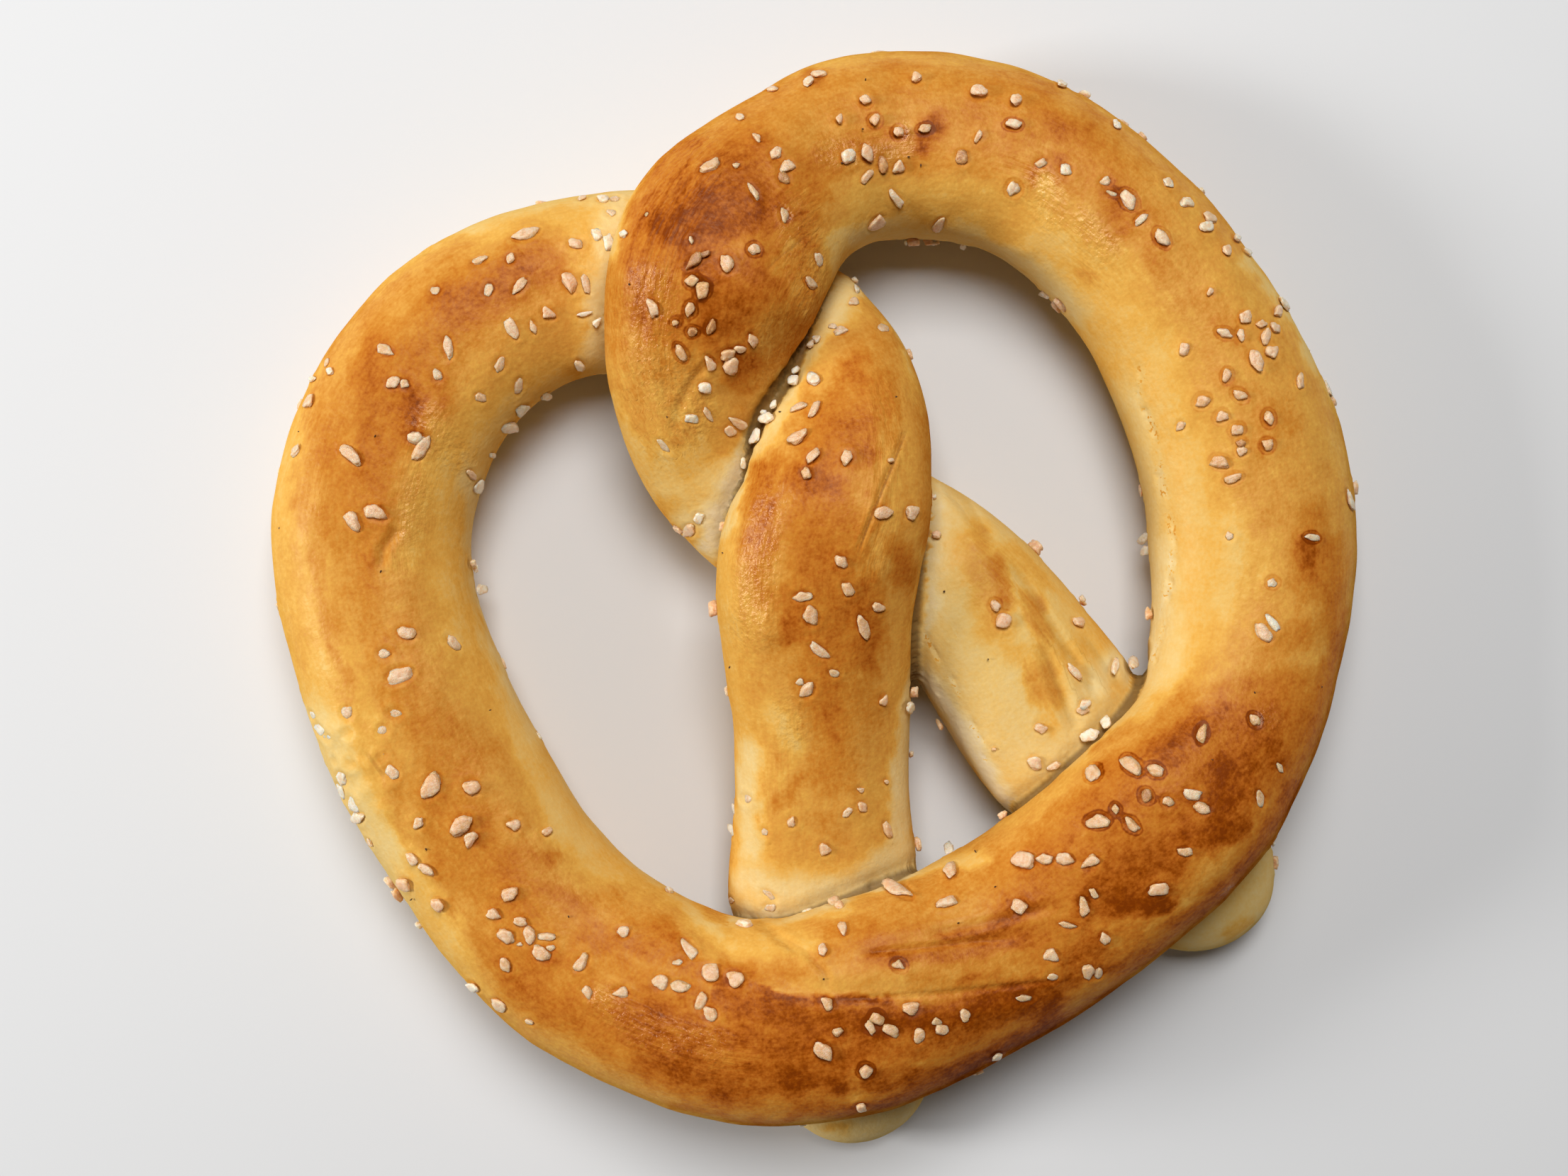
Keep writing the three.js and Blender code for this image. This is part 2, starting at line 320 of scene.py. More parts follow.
BAKE_RIGHT_LOBE = [
    (0.10, 110, [(1500, 400), (1570, 470), (1620, 560), (1650, 700), (1670, 850)]),
    (0.38, 66, [(1650, 360), (1700, 420), (1750, 510), (1790, 600), (1810, 690)]),
    (0.56, 56, [(1850, 720), (1850, 820)]),
    (-0.04, 36, [(1590, 560), (1618, 650), (1630, 760)]),
    (-0.12, 44, [(1638, 790), (1640, 860), (1625, 930)]),
    (0.00, 20, [(1760, 365), (1828, 450)]),
    (-0.02, 26, [(1832, 450), (1882, 545), (1906, 600)]),
    (0.08, 34, [(1675, 640), (1680, 740)]),
    (0.08, 34, [(1728, 730), (1735, 800), (1725, 870)]),
    (0.10, 34, [(1530, 420), (1580, 470), (1640, 510)]),
    (0.54, 26, [(1622, 350), (1635, 385)]),
    (0.42, 26, [(1670, 370), (1685, 430), (1725, 470)]),
    (0.34, 24, [(1728, 520), (1775, 525)]),
    (0.22, 24, [(1675, 525), (1727, 575), (1727, 630)]),
    (0.46, 28, [(1778, 590), (1825, 580), (1780, 630)]),
    (0.38, 24, [(1825, 640), (1775, 680)]),
    (0.18, 18, [(1875, 620), (1895, 660)]),
    (0.36, 22, [(1778, 720), (1872, 680)]),
    (0.90, 30, [(1835, 765), (1845, 790)]),
    (0.66, 30, [(1875, 770), (1880, 850), (1885, 920)]),
    (0.18, 24, [(1776, 775), (1776, 810)]),
    (0.38, 26, [(1795, 830), (1790, 870), (1740, 920)]),
    (0.56, 34, [(1780, 925), (1840, 895)]),
    (0.64, 22, [(1880, 930), (1870, 970)]),
    (-0.04, 34, [(1660, 905), (1640, 945)]),
]
BAKE_TOP_ARC = [
    (0.48, 90, [(1080, 160), (1180, 130), (1290, 115), (1400, 140), (1500, 190), (1580, 250)]),
    (0.50, 60, [(1170, 215), (1290, 210), (1400, 210), (1500, 220)]),
    (0.22, 58, [(1210, 290), (1300, 290), (1400, 290), (1470, 310), (1530, 370)]),
    (-0.08, 40, [(1190, 335), (1280, 332), (1380, 342), (1450, 375), (1510, 435)]),
    (0.24, 12, [(1060, 118), (1150, 88), (1260, 76), (1380, 82), (1480, 112)]),
    (0.57, 26, [(1222, 180)]),
    (0.44, 40, [(1080, 175), (1120, 190)]),
    (0.56, 36, [(1140, 220), (1175, 235)]),
    (0.96, 34, [(1325, 172), (1305, 200)]),
    (0.62, 26, [(1375, 150), (1378, 195)]),
    (0.54, 26, [(1375, 125), (1475, 130)]),
    (0.56, 30, [(1220, 190), (1275, 200)]),
    (0.66, 24, [(1150, 112)]),
    (0.46, 30, [(1375, 180), (1330, 225), (1390, 228)]),
    (0.52, 26, [(1425, 130), (1428, 225)]),
    (0.68, 36, [(1475, 178), (1525, 180)]),
    (0.90, 22, [(1488, 176)]),
    (0.34, 26, [(1475, 225)]),
    (0.54, 28, [(1525, 225), (1575, 225)]),
    (0.70, 34, [(1570, 275), (1585, 320)]),
    (0.56, 26, [(1622, 235)]),
    (0.48, 30, [(1625, 290), (1620, 330)]),
    (0.36, 24, [(1675, 325), (1640, 240)]),
    (0.30, 10, [(1560, 160), (1645, 225), (1705, 295)]),
    (0.74, 28, [(1462, 252), (1490, 240)]),
    (0.24, 26, [(1475, 275), (1480, 262)]),
    (0.30, 22, [(1525, 280), (1525, 325)]),
    (0.08, 28, [(1465, 330), (1500, 350)]),
    (0.40, 11, [(1526, 382), (1540, 388)]),
    (0.84, 14, [(1640, 345)]),
]
BAKE_OVER_TWIST = [
    (0.58, 60, [(960, 200), (925, 270), (900, 350), (885, 430)]),
    (0.82, 104, [(1040, 245), (1000, 280), (980, 350), (1020, 440)]),
    (0.66, 60, [(1140, 240), (1130, 310), (1100, 400)]),
    (0.92, 60, [(940, 310), (1010, 295), (1070, 300)]),
    (0.92, 24, [(1000, 290), (1030, 300)]),
    (0.76, 40, [(1030, 380), (1070, 380), (1080, 420), (1040, 430)]),
    (0.66, 44, [(910, 370), (930, 420), (940, 480)]),
    (0.72, 34, [(1025, 490), (1060, 515), (1035, 535)]),
    (0.60, 20, [(962, 395), (972, 450)]),
    (0.52, 30, [(1140, 390), (1125, 450), (1095, 505)]),
    (0.46, 20, [(1118, 345), (1100, 375)]),
    (0.05, 28, [(1184, 335), (1184, 405)]),
    (0.54, 22, [(872, 370), (870, 440)]),
    (0.74, 24, [(902, 365), (900, 470)]),
    (0.46, 34, [(880, 480), (920, 520), (970, 520)]),
    (0.34, 30, [(920, 570), (940, 590)]),
    (0.10, 38, [(975, 590), (980, 640), (930, 640)]),
    (0.38, 16, [(1025, 570), (1050, 555)]),
    (0.02, 42, [(920, 680), (970, 690), (1020, 670)]),
    (-0.10, 36, [(970, 735), (1010, 720)]),
    (-0.05, 18, [(1105, 535), (1075, 578), (1052, 625), (1036, 690)]),
    (-0.28, 34, [(1040, 660), (1020, 730), (1000, 770)]),
    (0.08, 16, [(868, 560), (885, 620), (915, 680)]),
    (0.00, 28, [(905, 220), (882, 262), (867, 305), (856, 350)]),
    (0.36, 20, [(960, 545), (985, 580), (958, 620)]),
]
BAKE_CENTRE_STRAND = [
    (0.70, 96, [(1210, 540), (1170, 640), (1160, 760), (1175, 880), (1185, 960)]),
    (0.52, 80, [(1190, 980), (1180, 1080)]),
    (0.14, 30, [(1015, 760), (1020, 860), (1035, 960), (1055, 1080), (1060, 1180)]),
    (-0.05, 28, [(1305, 880), (1288, 980), (1270, 1080), (1268, 1180)]),
    (0.02, 14, [(1296, 760), (1298, 860)]),
    (0.44, 18, [(1275, 725), (1260, 780)]),
    (0.32, 26, [(1265, 470), (1285, 540), (1285, 640), (1280, 720)]),
    (0.42, 18, [(1308, 590), (1308, 680), (1300, 760)]),
    (0.46, 34, [(1225, 475), (1245, 510)]),
    (0.30, 30, [(1178, 500), (1160, 540)]),
    (0.58, 34, [(1180, 575), (1225, 570)]),
    (0.74, 30, [(1215, 610), (1220, 640)]),
    (0.50, 26, [(1120, 620)]),
    (0.74, 40, [(1085, 660), (1078, 720), (1070, 760)]),
    (0.84, 34, [(1130, 670), (1180, 690)]),
    (0.46, 24, [(1240, 670), (1230, 740)]),
    (0.66, 36, [(1180, 720), (1175, 790), (1185, 830)]),
    (0.64, 26, [(1275, 770), (1275, 820)]),
    (0.56, 30, [(1060, 790), (1080, 840)]),
    (0.72, 30, [(1120, 840), (1130, 890)]),
    (0.74, 34, [(1225, 830), (1225, 930)]),
    (0.82, 20, [(1105, 880), (1110, 900)]),
    (0.46, 26, [(1082, 880), (1090, 930)]),
    (0.34, 18, [(1092, 985)]),
    (0.24, 22, [(1278, 920), (1262, 980)]),
    (0.68, 30, [(1175, 950), (1180, 1030)]),
    (0.45, 24, [(1125, 970)]),
    (0.08, 34, [(1080, 1000), (1125, 1045)]),
    (0.48, 22, [(1225, 1025)]),
    (0.28, 24, [(1228, 1080), (1228, 1130)]),
    (0.62, 14, [(1125, 1092), (1090, 1145)]),
    (0.44, 28, [(1140, 1160), (1180, 1170)]),
    (-0.10, 34, [(1055, 1070), (1060, 1200)]),
    (-0.12, 40, [(1050, 1240), (1100, 1255), (1200, 1245), (1275, 1200)]),
    (-0.20, 60, [(1030, 1300), (1100, 1310), (1200, 1295), (1310, 1245)]),
    (-0.14, 28, [(1292, 980), (1278, 1060), (1275, 1160)]),
    (0.05, 12, [(1205, 393), (1250, 438), (1290, 508), (1312, 570)]),
    (-0.10, 38, [(1195, 400), (1170, 440)]),
    (-0.04, 24, [(1165, 462), (1128, 530), (1095, 585), (1068, 640)]),
    (-0.10, 18, [(1066, 610), (1050, 650), (1038, 700), (1022, 750)]),
]
BAKE_RIGHT_TAIL = [
    (-0.04, 260, [(1350, 740), (1400, 880), (1420, 1000), (1500, 1040)]),
    (0.30, 50, [(1375, 770), (1395, 830), (1400, 880)]),
    (0.62, 24, [(1408, 795), (1418, 845)]),
    (0.38, 26, [(1455, 850), (1475, 890), (1478, 980)]),
    (0.18, 22, [(1425, 780), (1475, 825)]),
    (0.14, 26, [(1425, 920), (1520, 920)]),
    (0.16, 24, [(1475, 1020)]),
    (-0.14, 30, [(1540, 975), (1570, 930), (1600, 950)]),
    (-0.28, 26, [(1300, 955), (1340, 1010), (1380, 1070), (1420, 1135)]),
    (-0.18, 26, [(1320, 700), (1310, 800), (1305, 880)]),
    (0.46, 18, [(1456, 940), (1462, 980)]),
    (-0.04, 90, [(1690, 1335), (1765, 1290), (1805, 1220)]),
    (0.20, 12, [(1730, 1322), (1760, 1300)]),
]
BAKE_LEFT_TAIL = [
    (-0.06, 90, [(1130, 1592), (1200, 1602), (1270, 1572)]),
    (0.20, 12, [(1170, 1594), (1200, 1594)]),
]
# The strokes of each group lie on the rope between two of its stations, and nowhere else.
BAKE_GROUPS = [
    (BAKE_LEFT_LOBE, UNDER_TWIST[1], BELLY[3]),
    (BAKE_LEFT_TAIL, TAIL_UNDER_BELLY[0], CENTRE_STRAND[0]),
    (BAKE_RIGHT_TAIL, OVER_TWIST[4], RIGHT_TAIL[4]),
    (BAKE_BELLY_LEFT, LEFT_LOBE[3], BELLY[5]),
    (BAKE_BELLY_MIDDLE, BELLY[0], RIGHT_LOBE[1]),
    (BAKE_BELLY_RIGHT, BELLY[2], RIGHT_LOBE[3]),
    (BAKE_RIGHT_LOBE, BELLY[5], OVER_TWIST[1]),
    (BAKE_TOP_ARC, RIGHT_LOBE[2], OVER_TWIST[4]),
    (BAKE_OVER_TWIST, RIGHT_LOBE[5], RIGHT_TAIL[1]),
    (BAKE_CENTRE_STRAND, TAIL_UNDER_BELLY[1], UNDER_TWIST[2]),
]
BAKE_BASE = 0.30  # where no stroke lies
BAKE_FLANK = 0.08  # below the rope's sides
BAKE_UNDERSIDE = 0.66  # where the dough lay on the tray
BAKE_CORE = 0.12  # share of its radius over which a stroke has its full level
# The strokes' outlines are made uneven by noise: (width, reach) of each size of it, in pixels.
BAKE_WARPS = [(70.0, 7.0), (24.0, 6.0), (9.0, 3.0)]

# ---- Creases: (half width, depth, darkness of the painted shade along it, line) of each ----
CREASES = [
    (0.22, 0.22, 0.4, [(1142, 330), (1130, 338), (1118, 350), (1105, 358), (1090, 372), (1077, 384)]),
    (0.60, 0.25, 0.2, [(1040, 1290), (1085, 1310), (1130, 1350)]),
    (0.28, 0.35, 0.2, [(1165, 1410), (1250, 1408), (1330, 1402), (1420, 1392), (1500, 1382)]),
    (0.30, 0.30, 0.25, [(1210, 1345), (1290, 1338), (1370, 1328), (1440, 1325)]),
    (0.45, 0.25, 0.3, [(1090, 1318), (1135, 1342), (1163, 1372), (1170, 1402)]),
    (0.55, 0.25, 0.2, [(1010, 500), (980, 535), (958, 575), (953, 600), (950, 620)]),
    (0.24, 0.40, 0.8, [(1282, 598), (1262, 650), (1245, 690), (1225, 740), (1207, 790)]),
    (0.80, 0.45, 0.3, [(1330, 675), (1360, 705), (1375, 730), (1392, 757), (1405, 775)]),
    (0.90, 0.50, 0.3, [(1412, 785), (1440, 815), (1465, 850), (1495, 905), (1530, 955), (1552, 1005)]),
    (0.70, 0.40, 0.3, [(1525, 895), (1550, 930), (1570, 960), (1588, 985)]),
    (0.80, 0.45, 0.3, [(1466, 905), (1480, 930), (1505, 1000), (1525, 1045)]),
    (0.60, 0.30, 0.2, [(565, 740), (540, 775), (537, 805)]),
    (0.40, 0.25, 0.4, [(515, 1060), (545, 1100)]),
    (1.10, 0.25, 0.0, [(1200, 1343), (1290, 1338), (1350, 1333), (1450, 1318)]),
    (1.20, 0.30, 0.0, [(950, 1280), (1000, 1330), (1050, 1360), (1150, 1400), (1300, 1408), (1500, 1392)]),
    (0.60, 0.25, 0.2, [(1300, 1318), (1400, 1300), (1500, 1275)]),
]
FULL_FROM, FULL_TO = 0.18, 0.82  # shares of a crease's length between which it is in full
CREASE_LIP = 0.35  # height of the lips beside a crease, as a share of its depth
CREASE_LIP_PLACE = 2.2  # how far from its middle they stand, in half widths
CREASE_DARK_TO = (3.5, 1.8)  # half widths from its middle where its painted shade begins and is in full
FAR_FROM_CREASES = 4.0  # the most half widths that are measured

# ---- Torn seams, pale and full of pores: (half width, line) of each ----
TEARS = [
    (0.80, [(1610, 520), (1610, 560), (1625, 600), (1632, 640), (1640, 690), (1652, 740)]),
    (0.80, [(1652, 740), (1655, 790), (1640, 870), (1625, 930)]),
    (0.45, [(1305, 895), (1315, 915), (1325, 935), (1337, 945)]),
    (0.45, [(1340, 955), (1357, 985)]),
    (0.45, [(1360, 1000), (1375, 1030), (1385, 1045)]),
    (0.40, [(1388, 1068), (1394, 1080)]),
    (0.40, [(1402, 1083), (1413, 1098)]),
    (0.40, [(1345, 885), (1352, 900)]),
    (0.25, [(1276, 612), (1270, 640)]),
]
TEAR_DEPTH = 0.12
TEAR_ROUGHNESS = 0.25  # height of the noise in a seam
TEAR_GRAIN = 0.9  # width of that noise
SEAM_SIZE = 3.0  # width of the noise by which the seams come and go
SEAM_BREAKS = (-0.35, 0.15)  # its levels where a seam is gone and where it is in full

# ---- Bumps: (radius, height, line) of each ----
BUMPS = [
    (1.8, 0.40, [(1078, 880), (1085, 892)]),
    (1.4, 0.40, [(478, 1028)]),
    (1.5, 0.40, [(500, 1050)]),
    (1.4, 0.35, [(492, 1082)]),
    (1.6, 0.40, [(518, 1078)]),
    (1.3, 0.35, [(522, 1112)]),
    (1.5, 0.35, [(540, 1140)]),
    (1.2, 0.30, [(552, 1110)]),
    (1.6, 0.30, [(505, 1130)]),
    (2.5, 0.30, [(1040, 800), (1035, 860)]),
    (3.0, 0.25, [(620, 600), (640, 640)]),
    (1.0, 0.25, [(1345, 322), (1400, 338), (1450, 352)]),
]

# ---- Dimples round the salt, by the distance from the outline of the nearest grain ----
DIMPLE_DEPTH = 0.14
DIMPLE_GAPS = (0.3, -0.4)  # where a dimple begins and where it is in full
RIM_HEIGHT = 0.10  # height of the crust's rim round a grain
RIM_PLACE = 0.55
RIM_WIDTH = 0.36
RINGED_GAPS = (2.2, 0.9)  # how near a ringed grain its brown ring may begin and be in full
MARKED_ROUND_GRAIN = 2.5  # how far from a grain the distance is measured
FAR_FROM_GRAINS = 3.0  # the distance that stands for any farther one
NEAREST_SHARE = 0.05  # the least share of the way from a grain's middle to its outline

# ---- Fine wrinkles that run along the rope: (radius, strength, line) of each place ----
WRINKLES = [
    (6.0, 1.0, [(985, 220), (930, 330), (905, 430), (915, 540), (950, 620)]),
    (5.0, 0.8, [(1130, 290), (1125, 440), (1075, 520)]),
    (5.5, 0.6, [(1080, 640), (1060, 740), (1065, 860)]),
    (4.0, 0.6, [(1250, 560), (1250, 680), (1235, 800)]),
    (4.0, 0.5, [(430, 600), (435, 700)]),
    (5.0, 0.5, [(600, 600), (590, 720), (570, 780)]),
    (4.5, 0.7, [(1440, 240), (1500, 300), (1560, 380)]),
    (4.5, 0.7, [(860, 1410), (940, 1465), (1040, 1490)]),
    (4.0, 0.5, [(1400, 780), (1470, 880), (1530, 980)]),
    (4.0, 0.5, [(1160, 215), (1280, 200)]),
    (3.0, 0.5, [(1080, 1120), (1120, 1010)]),
]
WRINKLE_HEIGHT = 0.16
WRINKLE_WIDTH = 1.3
WRINKLE_LENGTH = 11.0
PATCH_CORE = 0.3  # share of its radius over which a wrinkled, torn or glossy place is in full

# ---- Glossy patches: (radius, line) of each ----
GLOSSES = [
    (4.0, [(605, 600), (640, 640)]),
    (3.0, [(590, 690), (580, 750)]),
    (3.5, [(1125, 300), (1145, 430)]),
    (5.5, [(920, 410), (930, 500), (975, 590)]),
    (4.5, [(1085, 700), (1070, 800), (1060, 890)]),
    (3.0, [(1112, 995), (1118, 1035)]),
    (3.0, [(1170, 215), (1255, 220)]),
    (3.5, [(1470, 260), (1485, 310)]),
    (3.5, [(1530, 320), (1555, 350)]),
    (3.0, [(850, 1410), (880, 1435)]),
    (4.5, [(910, 1455), (1000, 1480)]),
    (2.5, [(1790, 1015)]),
    (1.5, [(1736, 1258)]),
    (1.2, [(1277, 180), (1283, 213)]),
]

# ---- Salt: (across, down, length, width, turn in degrees, look) of each grain ----
# Look: w white, p plain tan, c cream, g glassy brown, f faint, r at the dough's very edge.
# A capital is a grain with a strong brown ring round it.
GRAINS_LEFT_LOBE_TOP = [
    (742, 331, 42, 16, -25, "p"), (720, 365, 17, 13, -70, "p"), (677, 368, 25, 11, -18, "p"),
    (605, 358, 15, 9, -50, "p"), (615, 411, 16, 15, 0, "p"), (690, 409, 20, 14, -70, "p"),
    (732, 404, 30, 13, -52, "p"), (804, 399, 31, 20, 70, "p"), (722, 464, 31, 17, 65, "p"),
    (752, 461, 20, 10, 80, "p"), (774, 443, 21, 16, 20, "p"), (545, 495, 29, 16, 25, "p"),
    (632, 491, 36, 15, 85, "p"), (705, 514, 25, 13, -62, "p"), (437, 566, 23, 14, -65, "p"),
    (555, 540, 22, 18, -20, "p"), (571, 542, 15, 14, 10, "p"), (618, 529, 19, 12, 75, "p"),
    (677, 560, 16, 14, 10, "p"), (812, 344, 21, 15, 5, "p"), (825, 443, 24, 7, -15, "w"),
    (818, 516, 14, 12, 0, "w"), (842, 331, 20, 14, 60, "w"), (859, 342, 25, 16, 75, "w"),
    (850, 281, 18, 13, 10, "w"), (843, 454, 17, 10, -45, "w"), (466, 524, 13, 11, 50, "w"),
    (441, 535, 14, 9, 0, "w"), (827, 401, 29, 12, 75, "f"), (461, 512, 13, 7, -70, "f"),
    (731, 545, 25, 11, -75, "f"), (821, 279, 12, 8, -20, "f"), (867, 281, 16, 10, 0, "f"),
    (862, 301, 14, 12, 0, "f"), (769, 558, 16, 10, -30, "r"), (736, 577, 22, 12, -35, "r"),
    (717, 603, 24, 15, -30, "r"), (418, 636, 21, 11, -45, "p"), (496, 642, 40, 17, 42, "p"),
    (595, 632, 42, 17, -62, "p"), (530, 723, 37, 22, 20, "p"), (499, 735, 33, 20, 48, "p"),
    (585, 617, 21, 18, 20, "c"), (666, 670, 15, 9, 70, "f"), (693, 642, 8, 7, 0, "r"),
    (675, 686, 22, 10, -70, "r"),
]
GRAINS_LEFT_LOBE_SIDE = [
    (573, 893, 28, 19, 20, "p"), (639, 907, 26, 12, 50, "p"), (543, 922, 19, 14, -10, "p"),
    (680, 831, 17, 11, 90, "r"), (563, 953, 44, 25, -25, "p"), (491, 1006, 21, 18, 80, "p"),
    (557, 1006, 25, 17, 0, "p"), (541, 1029, 18, 18, 0, "p"), (553, 1088, 26, 18, 50, "p"),
    (498, 1077, 18, 14, 0, "p"), (609, 1108, 42, 25, -65, "p"), (665, 1110, 25, 22, 30, "p"),
    (590, 1161, 22, 15, -50, "p"), (651, 1164, 38, 25, -50, "p"), (665, 1184, 23, 19, -30, "p"),
    (724, 1163, 20, 16, 20, "p"), (538, 1069, 26, 13, -45, "f"), (771, 1173, 14, 12, 0, "f"),
    (493, 1034, 17, 14, 0, "f"), (444, 1008, 17, 12, 50, "w"), (454, 1028, 22, 17, 30, "w"),
    (465, 1039, 17, 14, 0, "w"), (476, 1072, 12, 8, 60, "w"), (486, 1097, 24, 19, 70, "w"),
    (484, 1115, 28, 14, 70, "w"), (500, 1134, 28, 17, 70, "w"), (506, 1152, 26, 18, -30, "w"),
    (521, 1189, 14, 10, 60, "f"),
]
GRAINS_BELLY_LEFT = [
    (581, 1211, 22, 13, 45, "p"), (602, 1227, 26, 13, 25, "p"), (570, 1247, 24, 18, 10, "p"),
    (617, 1276, 22, 17, 40, "p"), (720, 1261, 26, 19, -20, "p"), (698, 1290, 21, 15, 20, "p"),
    (735, 1300, 20, 14, 10, "p"), (747, 1319, 27, 18, 75, "p"), (771, 1321, 27, 11, 0, "p"),
    (714, 1321, 29, 19, 25, "p"), (733, 1332, 9, 6, 0, "p"), (764, 1345, 30, 20, 35, "p"),
    (777, 1337, 13, 10, -30, "p"), (713, 1361, 23, 15, 60, "p"), (821, 1358, 30, 16, -55, "p"),
    (830, 1400, 21, 15, 60, "p"), (703, 1417, 26, 15, 30, "f"), (747, 1442, 14, 8, 20, "f"),
    (667, 1392, 22, 14, 20, "r"), (879, 1315, 18, 15, 0, "p"), (876, 1400, 24, 17, -5, "p"),
    (932, 1386, 24, 22, 0, "p"), (972, 1339, 33, 15, 48, "p"), (956, 1358, 17, 9, -10, "p"),
    (961, 1391, 30, 17, -5, "p"), (1002, 1373, 26, 24, 0, "p"), (1037, 1381, 26, 23, 30, "p"),
    (989, 1413, 27, 16, -60, "p"), (1002, 1430, 23, 20, 30, "p"), (1086, 1261, 27, 13, 35, "p"),
    (1086, 1278, 18, 13, 0, "p"), (1033, 1270, 10, 9, 90, "p"),
]
GRAINS_BELLY_RIGHT = [
    (1177, 1274, 17, 12, -20, "p"), (1161, 1340, 17, 13, 80, "p"), (1168, 1415, 21, 14, 60, "p"),
    (1182, 1456, 16, 13, 0, "p"), (1162, 1483, 34, 24, 58, "p"), (1337, 1197, 17, 12, -50, "r"),
    (1406, 1490, 17, 13, -20, "r"), (1266, 1254, 44, 16, 12, "p"), (1342, 1227, 22, 14, -50, "p"),
    (1335, 1272, 32, 13, -15, "p"), (1189, 1310, 18, 13, 75, "p"), (1268, 1362, 19, 14, 35, "P"),
    (1444, 1214, 33, 26, -15, "p"), (1474, 1212, 23, 16, 5, "p"), (1503, 1212, 26, 18, 5, "p"),
    (1538, 1218, 27, 17, -50, "p"), (1438, 1279, 24, 22, 0, "p"), (1529, 1278, 30, 15, 80, "p"),
    (1506, 1305, 27, 9, 12, "p"), (1484, 1347, 24, 20, 20, "p"), (1484, 1378, 16, 12, 10, "p"),
    (1535, 1371, 23, 17, 75, "p"), (1550, 1372, 17, 12, -80, "p"), (1286, 1422, 25, 22, -30, "p"),
    (1237, 1438, 22, 19, 50, "P"), (1228, 1449, 22, 12, 60, "p"), (1257, 1453, 27, 16, 30, "p"),
    (1322, 1442, 15, 12, 30, "p"), (1328, 1452, 19, 17, 0, "p"), (1361, 1432, 20, 17, 45, "p"),
    (1444, 1408, 25, 10, 10, "p"), (1543, 1260, 17, 9, 60, "p"), (1634, 1254, 31, 17, -8, "p"),
    (1558, 1323, 19, 15, 60, "p"), (1296, 1461, 22, 18, -60, "p"), (1222, 1511, 20, 18, -20, "P"),
    (1215, 1562, 16, 14, 20, "p"), (1543, 1091, 24, 18, -57, "P"), (1597, 1080, 32, 20, 45, "P"),
    (1629, 1087, 25, 17, 15, "P"), (1648, 1131, 17, 14, 40, "p"), (1695, 1140, 26, 17, 15, "p"),
    (1574, 1142, 15, 10, 85, "P"), (1549, 1158, 33, 19, -10, "P"), (1596, 1163, 26, 14, 45, "P"),
    (1695, 1035, 27, 14, -75, "P"), (1770, 1016, 20, 13, 52, "P"), (1805, 1083, 17, 7, 65, "p"),
    (1776, 1126, 26, 14, 70, "p"), (1671, 1201, 23, 14, 10, "p"), (1617, 1123, 20, 16, 70, "G"),
    (1682, 1121, 28, 16, 15, "c"), (1799, 1192, 7, 5, 90, "r"),
]
GRAINS_RIGHT_LOBE = [
    (1559, 257, 17, 14, -30, "p"), (1567, 273, 18, 7, 15, "p"), (1706, 308, 23, 13, 25, "p"),
    (1731, 353, 16, 15, 50, "p"), (1707, 412, 13, 9, -72, "p"), (1756, 447, 19, 19, 0, "p"),
    (1779, 457, 17, 12, 0, "p"), (1799, 462, 19, 14, 60, "p"), (1750, 473, 19, 12, -80, "p"),
    (1785, 475, 25, 14, -80, "p"), (1794, 497, 20, 18, 0, "p"), (1772, 509, 34, 19, 65, "p"),
    (1671, 493, 18, 13, -80, "p"), (1731, 530, 20, 13, -77, "P"), (1834, 537, 24, 12, 87, "p"),
    (1696, 566, 22, 18, -30, "P"), (1749, 558, 23, 13, 30, "P"), (1723, 588, 18, 16, -30, "P"),
    (1790, 590, 21, 15, 85, "P"), (1745, 606, 19, 16, -20, "P"), (1788, 628, 17, 16, 0, "P"),
    (1722, 652, 27, 18, 20, "P"), (1740, 675, 25, 12, -20, "P"), (1734, 756, 13, 11, 60, "p"),
    (1781, 893, 33, 19, 50, "p"), (1803, 440, 18, 15, -50, "p"), (1592, 282, 31, 20, 50, "C"),
    (1647, 258, 18, 17, 0, "c"), (1674, 286, 22, 16, 5, "c"), (1610, 310, 25, 10, -42, "c"),
    (1639, 336, 29, 17, 55, "C"), (1702, 320, 23, 16, -18, "c"), (1728, 470, 25, 12, 20, "C"),
    (1850, 758, 23, 10, 8, "W"), (1794, 822, 14, 13, 0, "W"), (1794, 878, 30, 12, 55, "w"),
    (1750, 625, 15, 11, 15, "g"), (1665, 601, 15, 12, -60, "f"), (1752, 637, 15, 14, 0, "f"),
    (1745, 336, 12, 11, 60, "r"), (1760, 355, 15, 8, 35, "r"), (1811, 429, 26, 12, 50, "r"),
    (1873, 547, 25, 9, 75, "r"), (1904, 705, 32, 10, 70, "r"), (1613, 760, 19, 9, -60, "r"),
    (1615, 777, 15, 9, -78, "r"),
]
